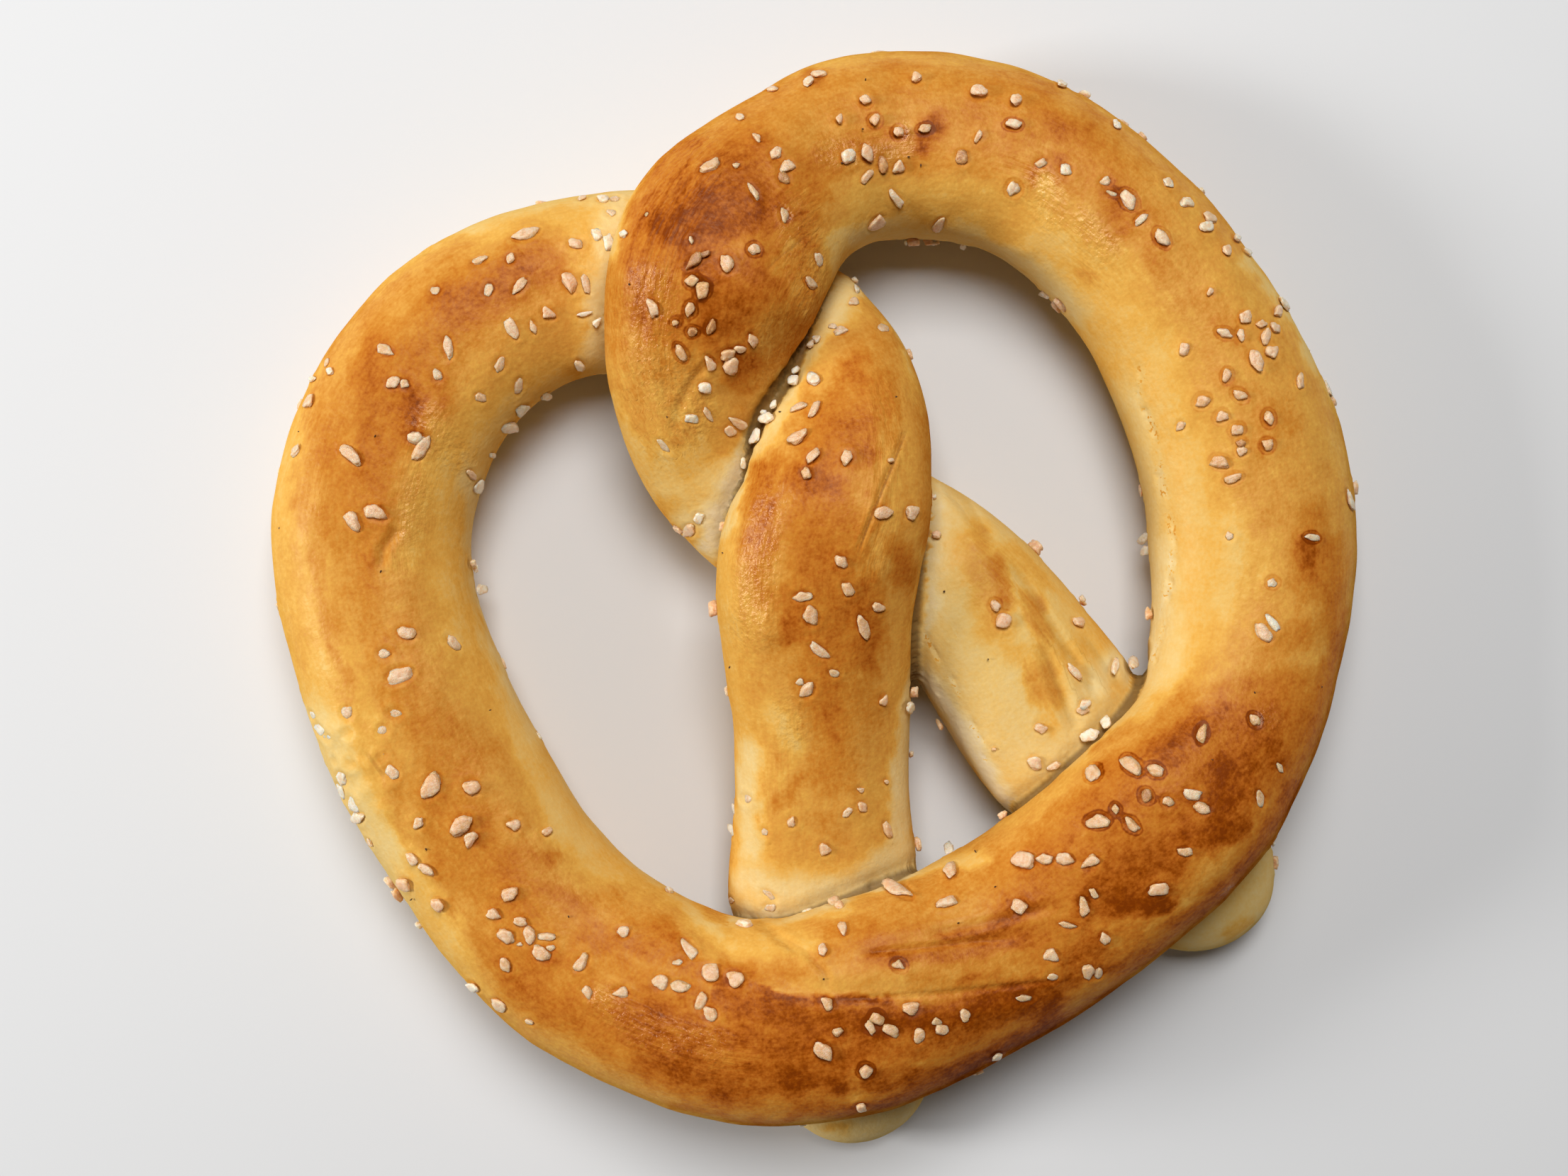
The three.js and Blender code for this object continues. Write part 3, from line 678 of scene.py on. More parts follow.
GRAINS_TOP_ARC = [
    (1185, 168, 13, 12, 60, "p"), (1235, 169, 16, 15, -30, "P"), (1268, 186, 16, 15, 60, "P"),
    (1305, 181, 19, 12, -5, "P"), (1380, 193, 19, 9, -60, "p"), (1468, 231, 19, 13, -18, "p"),
    (1223, 216, 29, 19, 65, "p"), (1268, 237, 20, 16, -50, "p"), (1223, 249, 25, 10, -50, "p"),
    (1236, 316, 28, 13, -40, "p"), (1324, 318, 21, 13, -35, "p"), (1155, 105, 23, 13, 0, "p"),
    (1090, 126, 16, 13, 0, "p"), (1044, 166, 13, 12, 0, "p"), (1068, 194, 17, 10, 45, "p"),
    (1221, 141, 18, 14, 20, "p"), (1292, 110, 14, 14, 40, "p"), (1381, 129, 24, 18, 20, "p"),
    (1433, 141, 18, 16, -55, "p"), (1140, 115, 18, 15, -45, "c"), (1264, 279, 26, 12, 50, "c"),
    (1430, 175, 24, 13, 5, "W"), (1196, 221, 22, 19, -40, "w"), (1430, 266, 20, 20, 0, "W"),
    (1246, 232, 24, 14, 80, "g"), (1357, 222, 22, 18, -75, "g"), (1498, 119, 16, 12, 0, "r"),
    (1503, 240, 20, 17, 60, "c"), (1575, 176, 17, 11, 60, "w"), (1278, 343, 7, 6, 0, "r"),
    (1317, 344, 7, 6, 0, "r"),
]
GRAINS_OVER_TWIST = [
    (881, 331, 13, 12, 0, "w"), (1001, 235, 33, 17, -25, "p"), (1039, 234, 11, 8, -10, "p"),
    (1063, 270, 30, 9, 60, "p"), (1107, 304, 24, 12, 75, "p"), (975, 339, 12, 7, 80, "p"),
    (1026, 372, 26, 20, 75, "p"), (1064, 352, 18, 16, 0, "P"), (976, 396, 19, 15, -30, "P"),
    (990, 409, 25, 20, -70, "P"), (921, 433, 29, 14, 70, "p"), (973, 437, 20, 14, -75, "P"),
    (953, 455, 9, 7, 0, "P"), (960, 498, 25, 13, 60, "P"), (1062, 480, 20, 14, 60, "p"),
    (1027, 500, 24, 14, -20, "p"), (1044, 493, 18, 10, 0, "p"), (1031, 515, 25, 21, -70, "p"),
    (1002, 512, 23, 14, 65, "p"), (913, 303, 8, 5, -70, "p"), (1109, 235, 23, 17, -30, "p"),
    (1094, 217, 20, 17, -60, "p"), (1143, 400, 21, 13, 33, "p"), (1106, 252, 20, 15, 50, "g"),
    (978, 368, 31, 16, -35, "g"), (993, 359, 20, 9, -15, "g"), (977, 468, 14, 11, 0, "G"),
    (1004, 461, 22, 13, -70, "g"), (1155, 367, 21, 12, 75, "f"), (1144, 485, 13, 10, -60, "f"),
    (1175, 460, 14, 10, 0, "f"), (1152, 479, 13, 12, 0, "w"), (1122, 522, 14, 9, -42, "w"),
    (1120, 537, 18, 14, -50, "w"), (1148, 536, 20, 17, 20, "w"),
]
GRAINS_CROSSING = [
    (994, 547, 19, 16, 0, "w"), (976, 590, 20, 12, 10, "w"), (986, 730, 16, 13, -60, "w"),
    (999, 585, 23, 9, 60, "p"), (1040, 597, 28, 13, 20, "p"), (1030, 608, 18, 14, 20, "p"),
    (937, 628, 25, 11, 50, "p"), (972, 748, 18, 17, 0, "f"), (1092, 571, 15, 8, -60, "w"),
    (1077, 582, 10, 8, 0, "w"), (1082, 590, 21, 17, -20, "w"), (1067, 616, 25, 14, -65, "w"),
    (1049, 653, 16, 9, -80, "w"), (1126, 574, 27, 10, -20, "p"), (1149, 578, 29, 11, -60, "p"),
    (1126, 615, 32, 18, -36, "p"), (1147, 643, 26, 13, -45, "p"), (1137, 667, 18, 14, 80, "p"),
    (1194, 646, 23, 16, -72, "p"), (1246, 723, 28, 18, -8, "p"), (1286, 722, 22, 18, -45, "p"),
    (1186, 467, 22, 14, -10, "p"), (1245, 464, 18, 14, 10, "p"), (1204, 427, 17, 14, -40, "p"),
    (1257, 649, 9, 7, 0, "f"), (1208, 408, 14, 8, 60, "r"), (1476, 414, 17, 9, 10, "r"),
    (1359, 350, 9, 8, 0, "r"),
]
GRAINS_CENTRE_STRAND_LOW = [
    (1187, 792, 22, 16, 60, "p"), (1196, 831, 22, 15, 60, "p"), (1132, 841, 30, 14, -5, "p"),
    (1143, 868, 31, 22, 80, "p"), (1239, 857, 20, 13, 20, "p"), (1218, 885, 39, 16, 72, "p"),
    (1156, 918, 34, 15, 35, "p"), (1176, 949, 15, 11, 10, "p"), (1139, 973, 28, 19, -55, "p"),
    (1247, 987, 17, 12, -70, "p"), (1217, 1138, 17, 13, 60, "p"), (1195, 1146, 18, 10, -45, "p"),
    (1055, 1126, 16, 15, 0, "p"), (1117, 1159, 17, 13, -70, "p"), (1080, 1173, 14, 11, 80, "p"),
    (1252, 1171, 28, 11, 70, "p"), (1162, 1198, 19, 17, 50, "p"), (1128, 962, 12, 10, -45, "f"),
    (1251, 1103, 8, 5, 45, "f"), (1214, 1114, 11, 8, 20, "f"), (1283, 999, 18, 13, 80, "r"),
    (1036, 1142, 18, 9, 70, "r"), (1030, 1171, 20, 12, 50, "r"),
]
GRAINS_RIGHT_TAIL = [
    (1321, 754, 14, 12, 0, "p"), (1516, 948, 32, 10, 44, "c"), (1573, 940, 26, 12, -76, "c"),
    (1531, 993, 19, 14, -20, "c"), (1461, 1076, 24, 18, 50, "c"), (1528, 1003, 20, 12, 0, "f"),
    (1522, 877, 20, 13, 30, "f"), (1487, 1081, 21, 11, -35, "f"), (1402, 1057, 7, 5, 0, "f"),
    (1560, 1019, 20, 14, -65, "w"), (1537, 1037, 29, 18, -10, "w"), (1404, 854, 17, 13, 60, "P"),
    (1415, 876, 25, 22, -50, "p"), (1468, 1027, 17, 13, 30, "p"), (1598, 935, 19, 18, 0, "r"),
]
GRAINS = [
    *GRAINS_LEFT_LOBE_TOP,
    *GRAINS_LEFT_LOBE_SIDE,
    *GRAINS_BELLY_LEFT,
    *GRAINS_BELLY_RIGHT,
    *GRAINS_RIGHT_LOBE,
    *GRAINS_TOP_ARC,
    *GRAINS_OVER_TWIST,
    *GRAINS_CROSSING,
    *GRAINS_CENTRE_STRAND_LOW,
    *GRAINS_RIGHT_TAIL,
]
# How pale each look is, and how far its grain stands out, as a share of its thickness.
LOOK_TONES = {"g": 0.10, "f": 0.63, "p": 0.60, "r": 0.96, "c": 0.87, "w": 0.95}
LOOK_LIFTS = {"g": 0.04, "f": 0.04, "p": 0.14, "r": 0.20, "c": 0.18, "w": 0.22}
RINGED_TONE = 0.85  # what the tone of a ringed grain is multiplied by
TONE_SPREAD = 0.07  # how far a grain's tone may be from its look's
RIM_DROP = 0.14  # how much of its tone a grain loses at its thin rim
RIM_LEVELS = (0.7, 0.0)  # the heights on a grain, of 1, where the rim begins and is in full
BROWNED_DROP = 0.10  # how much of its tone a grain loses on the brownest crust
BROWNED_LEVELS = (0.5, 0.95)  # the bake levels where that loss begins and is in full
GRAIN_THICKNESS = 0.36  # a grain's thickness as a share of its width
LEAST_THICKNESS = 0.22  # what is added to that
GRAIN_LEAN = 0.25  # how far a grain may lean
GRAIN_FINENESS = 3  # how often the ball that a grain is cut from is divided
STEEPEST = 0.42  # how little the crust may face up before a grain is drawn out along it no further
EDGE_OVERHANG = 0.5  # how far a grain seen beside the crust stands out from its edge, as a share

# ---- Salt on the outer sides, which the photograph doesn't show ----
HIDDEN_GRAINS = 70
HIDDEN_STEEPNESS = 0.2  # how far up or down such a side may face
HIDDEN_LOWEST = 6.0  # height over the table from which grains lie there
HIDDEN_SIZES = (1.2, 2.8)
HIDDEN_WIDTHS = (0.55, 0.9)  # as shares of the length
HIDDEN_THICKNESS = 0.75  # as a share of the width
HIDDEN_LOOKS = "ppcw"

# ---- A salt crystal: a ball of radius 1 cut by flat sides, a flat top and chipped corners ----
# The least and the most of how many there are, how far up each faces and how far out it lies.
SIDE_COUNTS, SIDE_HEIGHTS, SIDE_DEPTHS = (3, 6), (-0.2, 0.3), (0.46, 0.74)
TOP_HEIGHTS, TOP_DEPTHS = (0.95, 0.99), (0.5, 0.65)
CHIP_COUNTS, CHIP_HEIGHTS, CHIP_DEPTHS = (2, 4), (0.0, 0.6), (0.66, 0.86)
SIDE_UNEVEN = 0.25  # how far a side may be turned, as a share of the angle between two
EDGE_WEAR = 9.0  # sharpness of a crystal's edges
GRAIN_LUMPS = [(0.75, 0.24), (0.35, 0.13)]  # (width, height) of each size of noise on it
LUMP_SEEDS = (0, 9)  # between these lie the seeds of that noise

# ---- Dark specks in the crust: (across, down, size) ----
SPECKS = [
    (1264, 560, 5), (1004, 675, 6), (1020, 780, 4), (1030, 941, 6), (1332, 834, 5), (1394, 930, 4),
    (395, 745, 4), (529, 615, 4), (422, 609, 3), (691, 1002, 5), (1376, 1201, 4), (1404, 1251, 4),
    (1352, 1302, 4), (1162, 1381, 4), (580, 1269, 4), (601, 1198, 4), (802, 1293, 4), (913, 1321, 4),
    (1188, 230, 4), (1221, 112, 4), (1217, 182, 4), (1282, 221, 4), (1299, 233, 5), (941, 588, 4),
    (1100, 581, 4), (888, 401, 4), (1770, 977, 4), (1864, 969, 4), (537, 806, 5), (1710, 1072, 4),
]
SPECK_LENGTHS = (0.7, 1.2)  # as shares of the size
SPECK_WIDTH = 0.5  # as a share of the size
SPECK_HEIGHT = 0.25  # half its height over the crust, in millimetres
SPECK_FINENESS = 1  # how often the ball that a speck is made from is divided
SPECK_ROUGHNESS = 0.6

# ---- Colours of the crust by its bake level, and of the salt by its tone ----
CRUST_RAMP = [
    (-0.35, (0.780, 0.650, 0.420)),
    (-0.15, (0.785, 0.592, 0.262)),
    (0.00, (0.775, 0.502, 0.152)),
    (0.15, (0.760, 0.409, 0.077)),
    (0.25, (0.705, 0.348, 0.058)),
    (0.35, (0.660, 0.300, 0.050)),
    (0.45, (0.615, 0.254, 0.035)),
    (0.56, (0.565, 0.206, 0.023)),
    (0.68, (0.510, 0.160, 0.016)),
    (0.80, (0.415, 0.105, 0.008)),
    (0.91, (0.290, 0.060, 0.002)),
    (1.00, (0.208, 0.037, 0.001)),
]
# dark colour of the painted shade in folds and creases
GROOVE_SHADE_COLOUR = (0.14, 0.074, 0.024)
SALT_RAMP = [
    (0.00, (0.46, 0.22, 0.08)),
    (0.30, (0.70, 0.40, 0.17)),
    (0.50, (0.77, 0.47, 0.26)),
    (0.72, (0.83, 0.565, 0.37)),
    (0.86, (0.85, 0.63, 0.41)),
    (1.00, (0.89, 0.75, 0.59)),
]
SPECK_COLOUR = (0.06, 0.022, 0.008)
FLOOR_COLOUR = (0.72, 0.72, 0.72)

# ---- The crust's fine looks ----
# A noise is its (width, detail). A range is (low, high) of what is measured, and after these what
# they become where that isn't 0 and 1.
NOISE_DETAIL = 2.0
MOTTLES = [(9.0, 0.20), (3.2, 0.28), (1.1, 0.32), (0.45, 0.34)]  # (width, height) of each size
STREAKS = [(1.6, 7.0, 0.24), (0.5, 2.6, 0.28)]  # (width, length, height) of each size
MOTTLE_STRENGTH = (-0.05, 0.45, 0.35, 1.0)  # by the bake level
STREAKS_ELSEWHERE = 0.7  # strength of the streaks where the crust isn't wrinkled
STREAKS_IN_WRINKLES = 1.2  # what is added to it where it is
GRAIN_LINE = (0.30, 0.0)  # the thin brown line round a grain, by the distance from it
RING_WAVES, RING_WAVE = (1.4, 2.0), 0.5  # noise that makes the rings uneven, and its height
RING_OUTSIDE = (0.95, 0.70)  # the ring's outer edge, by the distance from the grain
RING_INSIDE = (0.66, 0.46, 0.0, 0.5)  # what it loses on its inner side
RING_STRENGTH = (0.05, 0.5, 0.35, 1.0)  # by the bake level
RING_BROWNING = 0.28  # how much browner the darkest ring is
GRAIN_LINE_SHARE, RING_SHARE = 0.4, 0.9  # the share of that in the line and in the ring
CREASE_SHADE = (0.9, 0.0)  # the crease's painted shade, by the square of the half widths from its middle
# how much browner the painted shade of a crease makes the crust
CREASE_SHADE_AS_BROWNING = 0.12
CREASE_GROOVE = 0.45  # share of the groove's dark colour, painted shade, in the darkest crease
FOLD_SHADE = (0.95, 0.5, 0.0, 0.7)  # painted shade along the line of a fold, by the distance from it
FOLD_SIDES = (3.2, 0.4, 0.0, 0.16)  # painted shade on both sides of it
PORES = (0.55, 1.0)  # noise of the pores in a torn seam
PORE_LEVELS = (0.42, 0.34, -0.10, 0.40)  # how much paler the seam is, and how much darker its pores are with painted shade in them
ROUGH_PATCHES = (2.0, 2.0)
ROUGHNESS = (0.3, 0.7, 0.32, 0.46)
GLOSS_SMOOTHER = 0.16  # how much less rough a glossy patch is
SHINE = 0.13
GLOSS_SHINE = 0.40  # what is added to it in a glossy patch
SHINE_TINT = (1.0, 0.82, 0.60)
WRINKLE_LINES = (0.5, 4.0)  # (width, length)
GRIT = (0.7, 5.0)
GRIT_HEIGHT = 0.45
GRIT_IN_GLOSS = 0.7  # what is added to it in a glossy patch
CRUST_BUMP = 0.20

# ---- The salt's fine looks ----
CLOUDS = (0.6, 3.0)  # noise inside a grain
CLOUD_TONES = (0.3, 0.7, -0.16, 0.16)
SALT_ROUGHNESS = 0.42
SALT_IOR = 1.5
SALT_GLOW = 0.8  # share of the light that passes into a grain
SALT_GLOW_COLOUR = (1.0, 0.7, 0.5)
SALT_GLOW_DEPTH = 1.2
SALT_GRIT = (0.3, 2.0)
SALT_BUMP = 0.12
SALT_BUMP_STRENGTH = 0.8

# ---- Floor and light ----
FLOOR_WIDTH = 3000.0
FLOOR_GAP = 0.2  # how far the floor lies below the dough, so that the two don't flicker
FLOOR_ROUGHNESS = 0.9
# Each square lamp: its name, its direction in the photograph (right, up, towards the camera), its
# width and its power in watts.
LAMPS = [
    ("key", (0.0, 1.0, 2.0), 400.0, 5.6),
    ("side", (-1.0, 0.0, 0.5), 200.0, 3.8),
]
LAMP_DISTANCE = 800.0
WORLD_STRENGTH = 0.05


# ---- The camera's view of the part ----
def to_photo(points):
    """The photograph's pixels (across, down) at which points of the part show."""
    from_camera = points - CAMERA_PLACE
    scale = -FOCAL_PIXELS / from_camera[:, 2]
    across = PHOTO_WIDTH / 2 + from_camera @ IMAGE_RIGHT * scale
    down = PHOTO_HEIGHT / 2 - from_camera @ IMAGE_UP * scale
    return np.stack([across, down], 1)


def sight_direction(across, down):
    """The direction in which the camera sees a pixel of the photograph."""
    sideways = (across - PHOTO_WIDTH / 2) / FOCAL_PIXELS * IMAGE_RIGHT
    upwards = (PHOTO_HEIGHT / 2 - down) / FOCAL_PIXELS * IMAGE_UP
    direction = sideways + upwards + np.array([0, 0, -1.0])
    return direction / np.linalg.norm(direction)


def make_camera():
    data = bpy.data.cameras.new("camera")
    data.sensor_width = SENSOR_WIDTH
    data.lens = FOCAL_PIXELS / PHOTO_WIDTH * SENSOR_WIDTH
    data.clip_start = NEAREST_SEEN * MM
    camera = bpy.data.objects.new("camera", data)
    camera.location = Vector(CAMERA_PLACE) * MM
    camera.rotation_euler = (0, 0, CAMERA_TURN)
    bpy.context.scene.collection.objects.link(camera)
    bpy.context.scene.camera = camera


# ---- The rope ----
def smooth_curve(points, samples_per_station):
    """A centripetal Catmull-Rom curve through the points, by the first three numbers of each."""
    points = np.array(points, float)
    before = 2 * points[0] - points[1]
    after = 2 * points[-1] - points[-2]
    ends = np.vstack([before, points, after])
    gap = np.linalg.norm(np.diff(ends[:, :3], axis=0), axis=1)[:, None] ** 0.5
    count = len(points) - 1
    at = np.linspace(0, count, count * samples_per_station + 1)
    first = np.minimum(at.astype(int), count - 1)
    share = (at - first)[:, None]
    p0, p1, p2, p3 = (ends[first + k] for k in range(4))
    d0, d1, d2 = (gap[first + k] for k in range(3))
    slope1 = ((p1 - p0) / d0 - (p2 - p0) / (d0 + d1) + (p2 - p1) / d1) * d1
    slope2 = ((p2 - p1) / d1 - (p3 - p1) / (d1 + d2) + (p3 - p2) / d2) * d1
    square = -3 * p1 + 3 * p2 - 2 * slope1 - slope2
    cube = 2 * p1 - 2 * p2 + slope1 + slope2
    return p1 + slope1 * share + square * share**2 + cube * share**3


def section_reach(level, up):
    """Where the outline of a section 2 wide and 2 high lies on the way to a point, as a share."""
    return (np.abs(level) ** SECTION_POWER + np.abs(up) ** SECTION_POWER) ** (-1 / SECTION_POWER)


class Rope:
    """The rope's sections: how far along it each lies, its row, its direction and its points."""

    def __init__(self):
        curve = smooth_curve(STATIONS, SAMPLES_PER_STATION)
        steps = np.linalg.norm(np.diff(curve[:, :3], axis=0), axis=1)
        run = np.concatenate([[0], np.cumsum(steps)])
        length = run[-1]

        def curve_at(distances, columns):
            return np.stack([np.interp(distances, run, curve[:, k]) for k in range(columns)], 1)

        tip = TIP_LENGTH * (1 - np.cos(np.linspace(TIP_START, math.pi / 2, TIP_RINGS + 1)))
        middle = np.arange(TIP_LENGTH, length - TIP_LENGTH, RING_SPACING)
        self.station_runs = run[::SAMPLES_PER_STATION]
        self.distances = np.concatenate([tip[:-1], middle, (length - tip)[::-1]])
        self.rows = curve_at(self.distances, 5)
        ahead = curve_at(self.distances + SLOPE_STEP, 2)
        behind = curve_at(self.distances - SLOPE_STEP, 2)
        self.directions = ahead - behind
        self.directions /= np.linalg.norm(self.directions, axis=1)[:, None]
        to_tip = np.minimum(self.distances, length - self.distances) / TIP_LENGTH
        self.rings = self.make_rings(np.sqrt(1 - (1 - np.minimum(to_tip, 1)) ** 2))

    def make_rings(self, share):
        """The points of each section, a superellipse that lies level across the rope."""
        angle = np.linspace(0, 2 * math.pi, RING_POINTS, endpoint=False)
        level, up = np.cos(angle), np.sin(angle)
        reach = section_reach(level, up)
        sideways = (level * reach)[None, :] * (self.rows[:, 3] * share / 2)[:, None]
        upwards = (up * reach)[None, :] * (self.rows[:, 4] * share / 2)[:, None]
        x = self.rows[:, None, 0] - self.directions[:, None, 1] * sideways
        y = self.rows[:, None, 1] + self.directions[:, None, 0] * sideways
        z = np.maximum(self.rows[:, None, 2] + upwards, 0)
        return np.stack([x, y, z], 2)

    def places(self, points):
        """How far along the rope each point lies, and how far round it from its top."""
        tree = kd_tree(self.rings.reshape(-1, 3))
        nearest = np.array([tree.find(point)[1] for point in points.tolist()]) // RING_POINTS
        rows, directions = self.rows[nearest], self.directions[nearest]
        away = points - rows[:, :3]
        ahead = (away[:, :2] * directions).sum(1)
        sideways = away[:, 1] * directions[:, 0] - away[:, 0] * directions[:, 1]
        turn = np.arctan2(-sideways / rows[:, 3], away[:, 2] / rows[:, 4])
        return self.distances[nearest] + ahead, turn * rows[:, 3] / 2

    def fold_gap(self, points):
        """How far each point lies from the second nearest length of rope, which is 0 in a fold."""
        gaps = []
        x, y = self.directions.T
        for part in np.array_split(points, len(points) // POINTS_AT_ONCE + 1):
            away = part[:, None, :] - self.rows[None, :, :3]
            ahead = np.abs(away[:, :, 0] * x + away[:, :, 1] * y)
            past_ring = np.maximum(ahead - RING_SPACING / 2, 0)
            sideways, upwards = away[:, :, 1] * x - away[:, :, 0] * y, away[:, :, 2]
            reach = section_reach(2 * sideways / self.rows[:, 3], 2 * upwards / self.rows[:, 4])
            gap = np.hypot(np.hypot(sideways, upwards) * (1 - reach), past_ring)
            first = self.distances[gap.argmin(1)][:, None]
            gap[np.abs(self.distances - first) < OTHER_LENGTH] = np.inf
            gaps.append(gap.min(1))
        return np.concatenate(gaps)

    def run_of(self, station):
        return self.station_runs[STATIONS.index(station)]


def rope_mesh(rings):
    """The rope as one closed tube that passes through itself at its crossings."""
    count = len(rings)
    faces = []
    for k in range(count - 1):
        for j in range(RING_POINTS):
            a = k * RING_POINTS + j
            b = k * RING_POINTS + (j + 1) % RING_POINTS
            faces.append((a, b, b + RING_POINTS, a + RING_POINTS))
    faces.append(tuple(reversed(range(RING_POINTS))))
    faces.append(tuple(range((count - 1) * RING_POINTS, count * RING_POINTS)))
    mesh = bpy.data.meshes.new("rope")
    mesh.from_pydata(rings.reshape(-1, 3).tolist(), [], faces)
    return mesh


# ---- Meshes as arrays ----
def with_modifier(mesh, kind, **settings):
    """The mesh after a modifier with these settings."""
    piece = bpy.data.objects.new("piece", mesh)
    bpy.context.scene.collection.objects.link(piece)
    modifier = piece.modifiers.new("modifier", kind)
    for name, value in settings.items():
        setattr(modifier, name, value)
    graph = bpy.context.evaluated_depsgraph_get()
    made = bpy.data.meshes.new_from_object(piece.evaluated_get(graph))
    bpy.data.objects.remove(piece)
    bpy.data.meshes.remove(mesh)
    return made


def triangle_count(mesh):
    return sum(len(polygon.vertices) - 2 for polygon in mesh.polygons)


def decimated(mesh, triangles):
    """The mesh with no more than about this many triangles."""
    return with_modifier(mesh, "DECIMATE", ratio=min(1, triangles / triangle_count(mesh)))


def vertex_array(mesh, name):
    found = np.empty(len(mesh.vertices) * 3)
    mesh.vertices.foreach_get(name, found)
    return found.reshape(-1, 3)


def set_places(mesh, points):
    mesh.vertices.foreach_set("co", points.ravel())
    mesh.update()


def edge_ends(mesh):
    found = np.empty(len(mesh.edges) * 2, int)
    mesh.edges.foreach_get("vertices", found)
    return found.reshape(-1, 2)


def to_neighbours(values, ends):
    """From the value at each vertex to the mean of its neighbours' values."""
    count = np.bincount(ends.ravel(), minlength=len(values))[:, None]
    total = np.zeros_like(values)
    for k in range(values.shape[1]):
        total[:, k] += np.bincount(ends[:, 0], values[ends[:, 1], k], len(values))
        total[:, k] += np.bincount(ends[:, 1], values[ends[:, 0], k], len(values))
    return total / count - values


def kd_tree(points):
    tree = KDTree(len(points))
    for k, point in enumerate(points.tolist()):
        tree.insert(point, k)
    tree.balance()
    return tree


def distance_to(tree, points):
    """The distance from each point to the nearest of the tree's."""
    return np.array([tree.find(point)[2] for point in points.tolist()])


def set_attribute(mesh, name, values):
    made = mesh.attributes.new(name, "FLOAT", "POINT")
    made.data.foreach_set("value", values.astype(np.float32))


def placed(shape, middle, long_axis, wide_axis, high_axis):
    """The vertices of a shape 2 wide each way, laid along three half axes."""
    vertices = middle + np.outer(shape[:, 0], long_axis)
    vertices = vertices + np.outer(shape[:, 1], wide_axis)
    return vertices + np.outer(shape[:, 2], high_axis)


def joined_mesh(name, copies, unit_faces):
    """One mesh in metres of many balls, each with vertices of its own."""
    faces = [unit_faces + k * len(vertices) for k, vertices in enumerate(copies)]
    mesh = bpy.data.meshes.new(name)
    mesh.from_pydata((np.vstack(copies) * MM).tolist(), [], np.vstack(faces).tolist())
    return mesh


def add_piece(name, mesh, material):
    """A visible piece that belongs to the part and has its one material slot."""
    mesh.name = name
    mesh.shade_smooth()
    mesh.materials.clear()
    mesh.materials.append(material)
    piece = bpy.data.objects.new(name, mesh)
    bpy.context.scene.collection.objects.link(piece)
    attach(piece, "root")
    return piece


# ---- Shares and distances over the crust ----
def smoothstep(low, high, values):
    """A share that eases from 0 at low to 1 at high, which may be the lower of the two."""
    share = np.clip((values - low) / (high - low), 0, 1)
    return share * share * (3 - 2 * share)


def bell(distance, width):
    return np.exp(-((distance / width) ** 2))


def noise_at(points, size, seed):
    """Smooth noise from -1 to 1 with lumps about as wide as size."""
    places = points / size + np.array(NOISE_SHIFT) * seed
    return np.array([noise.noise(place) for place in places.tolist()])


def line_near(at, line):
    """For each place: distance to the line, positive on its right, and run along it to there."""
    line = np.array(line, float)
    if len(line) == 1:
        return np.linalg.norm(at - line[0], axis=1), np.full(len(at), 0.5), 1.0
    nearest = np.full(len(at), np.inf)
    run_to = np.zeros(len(at))
    side = np.ones(len(at))
    run = 0.0
    for start, step in zip(line[:-1], np.diff(line, axis=0)):
        length = np.linalg.norm(step)
        away = at - start
        share = np.clip(away @ step / length**2, 0, 1)
        distance = np.linalg.norm(away - share[:, None] * step, axis=1)
        closer = distance < nearest
        nearest[closer] = distance[closer]
        run_to[closer] = run + share[closer] * length
        cross = step[0] * away[:, 1] - step[1] * away[:, 0]
        side[closer] = np.sign(cross[closer])
        run += length
    return nearest * side, run_to, run


def end_fade(run_to, run):
    """1 along the middle of a line, falling to 0 at its ends."""
    share = run_to / run
    return smoothstep(0, FULL_FROM, share) * smoothstep(1, FULL_TO, share)


def bake_level(points, facing, rope, along):
    """How brown the crust is at each place, from how far along the rope it lies."""
    at = to_photo(points)
    for size, reach in BAKE_WARPS:
        for side, seed in enumerate(WARP_SEEDS):
            at[:, side] += reach * NOISE_PEAK * noise_at(points, size * PIXEL, seed)
    level = np.full(len(points), BAKE_BASE)
    for strokes, first, last in BAKE_GROUPS:
        here = np.flatnonzero((along >= rope.run_of(first)) & (along <= rope.run_of(last)))
        for stroke, radius, line in strokes:
            distance, _, _ = line_near(at[here], line)
            share = smoothstep(1, BAKE_CORE, np.abs(distance) / radius)
            level[here] += share * (stroke - level[here])
    level = BAKE_FLANK + (level - BAKE_FLANK) * smoothstep(*STROKED_FACING, facing)
    under = smoothstep(*TRAY_HEIGHTS, points[:, 2]) * smoothstep(*TRAY_FACING, facing)
    return level + (BAKE_UNDERSIDE - level) * under


def most(strokes, at, shown):
    """The greatest strength of any (radius, line) or (radius, strength, line) at each place."""
    found = np.zeros(len(at))
    for radius, *strength, line in strokes:
        distance, _, _ = line_near(at, line)
        share = smoothstep(1, PATCH_CORE, np.abs(distance) * PIXEL / radius)
        found = np.maximum(found, share * (strength[0] if strength else 1.0))
    return found * shown


# ---- Salt grains: where each lies ----
class Seat:
    """A grain's middle on the crust, its half axes there, and how it looks."""

    def __init__(self, middle, normal, long_axis, wide_axis, thickness, look):
        self.middle = middle
        self.normal = normal
        self.long_axis = long_axis
        self.wide_axis = wide_axis
        self.thickness = thickness
        self.look = look.lower()
        self.ringed = look.isupper()
        spread = np.stack([long_axis, wide_axis, normal], 1)
        self.inverse = np.linalg.inv(spread)

    def gap(self, points):
        """Distance of each point from the grain's outline, along the crust."""
        away = points - self.middle
        flat = away @ self.inverse.T
        share = np.maximum(np.hypot(flat[:, 0], flat[:, 1]), NEAREST_SHARE)
        level = away - np.outer(flat[:, 2], self.normal)
        return np.linalg.norm(level, axis=1) * (1 - 1 / share)


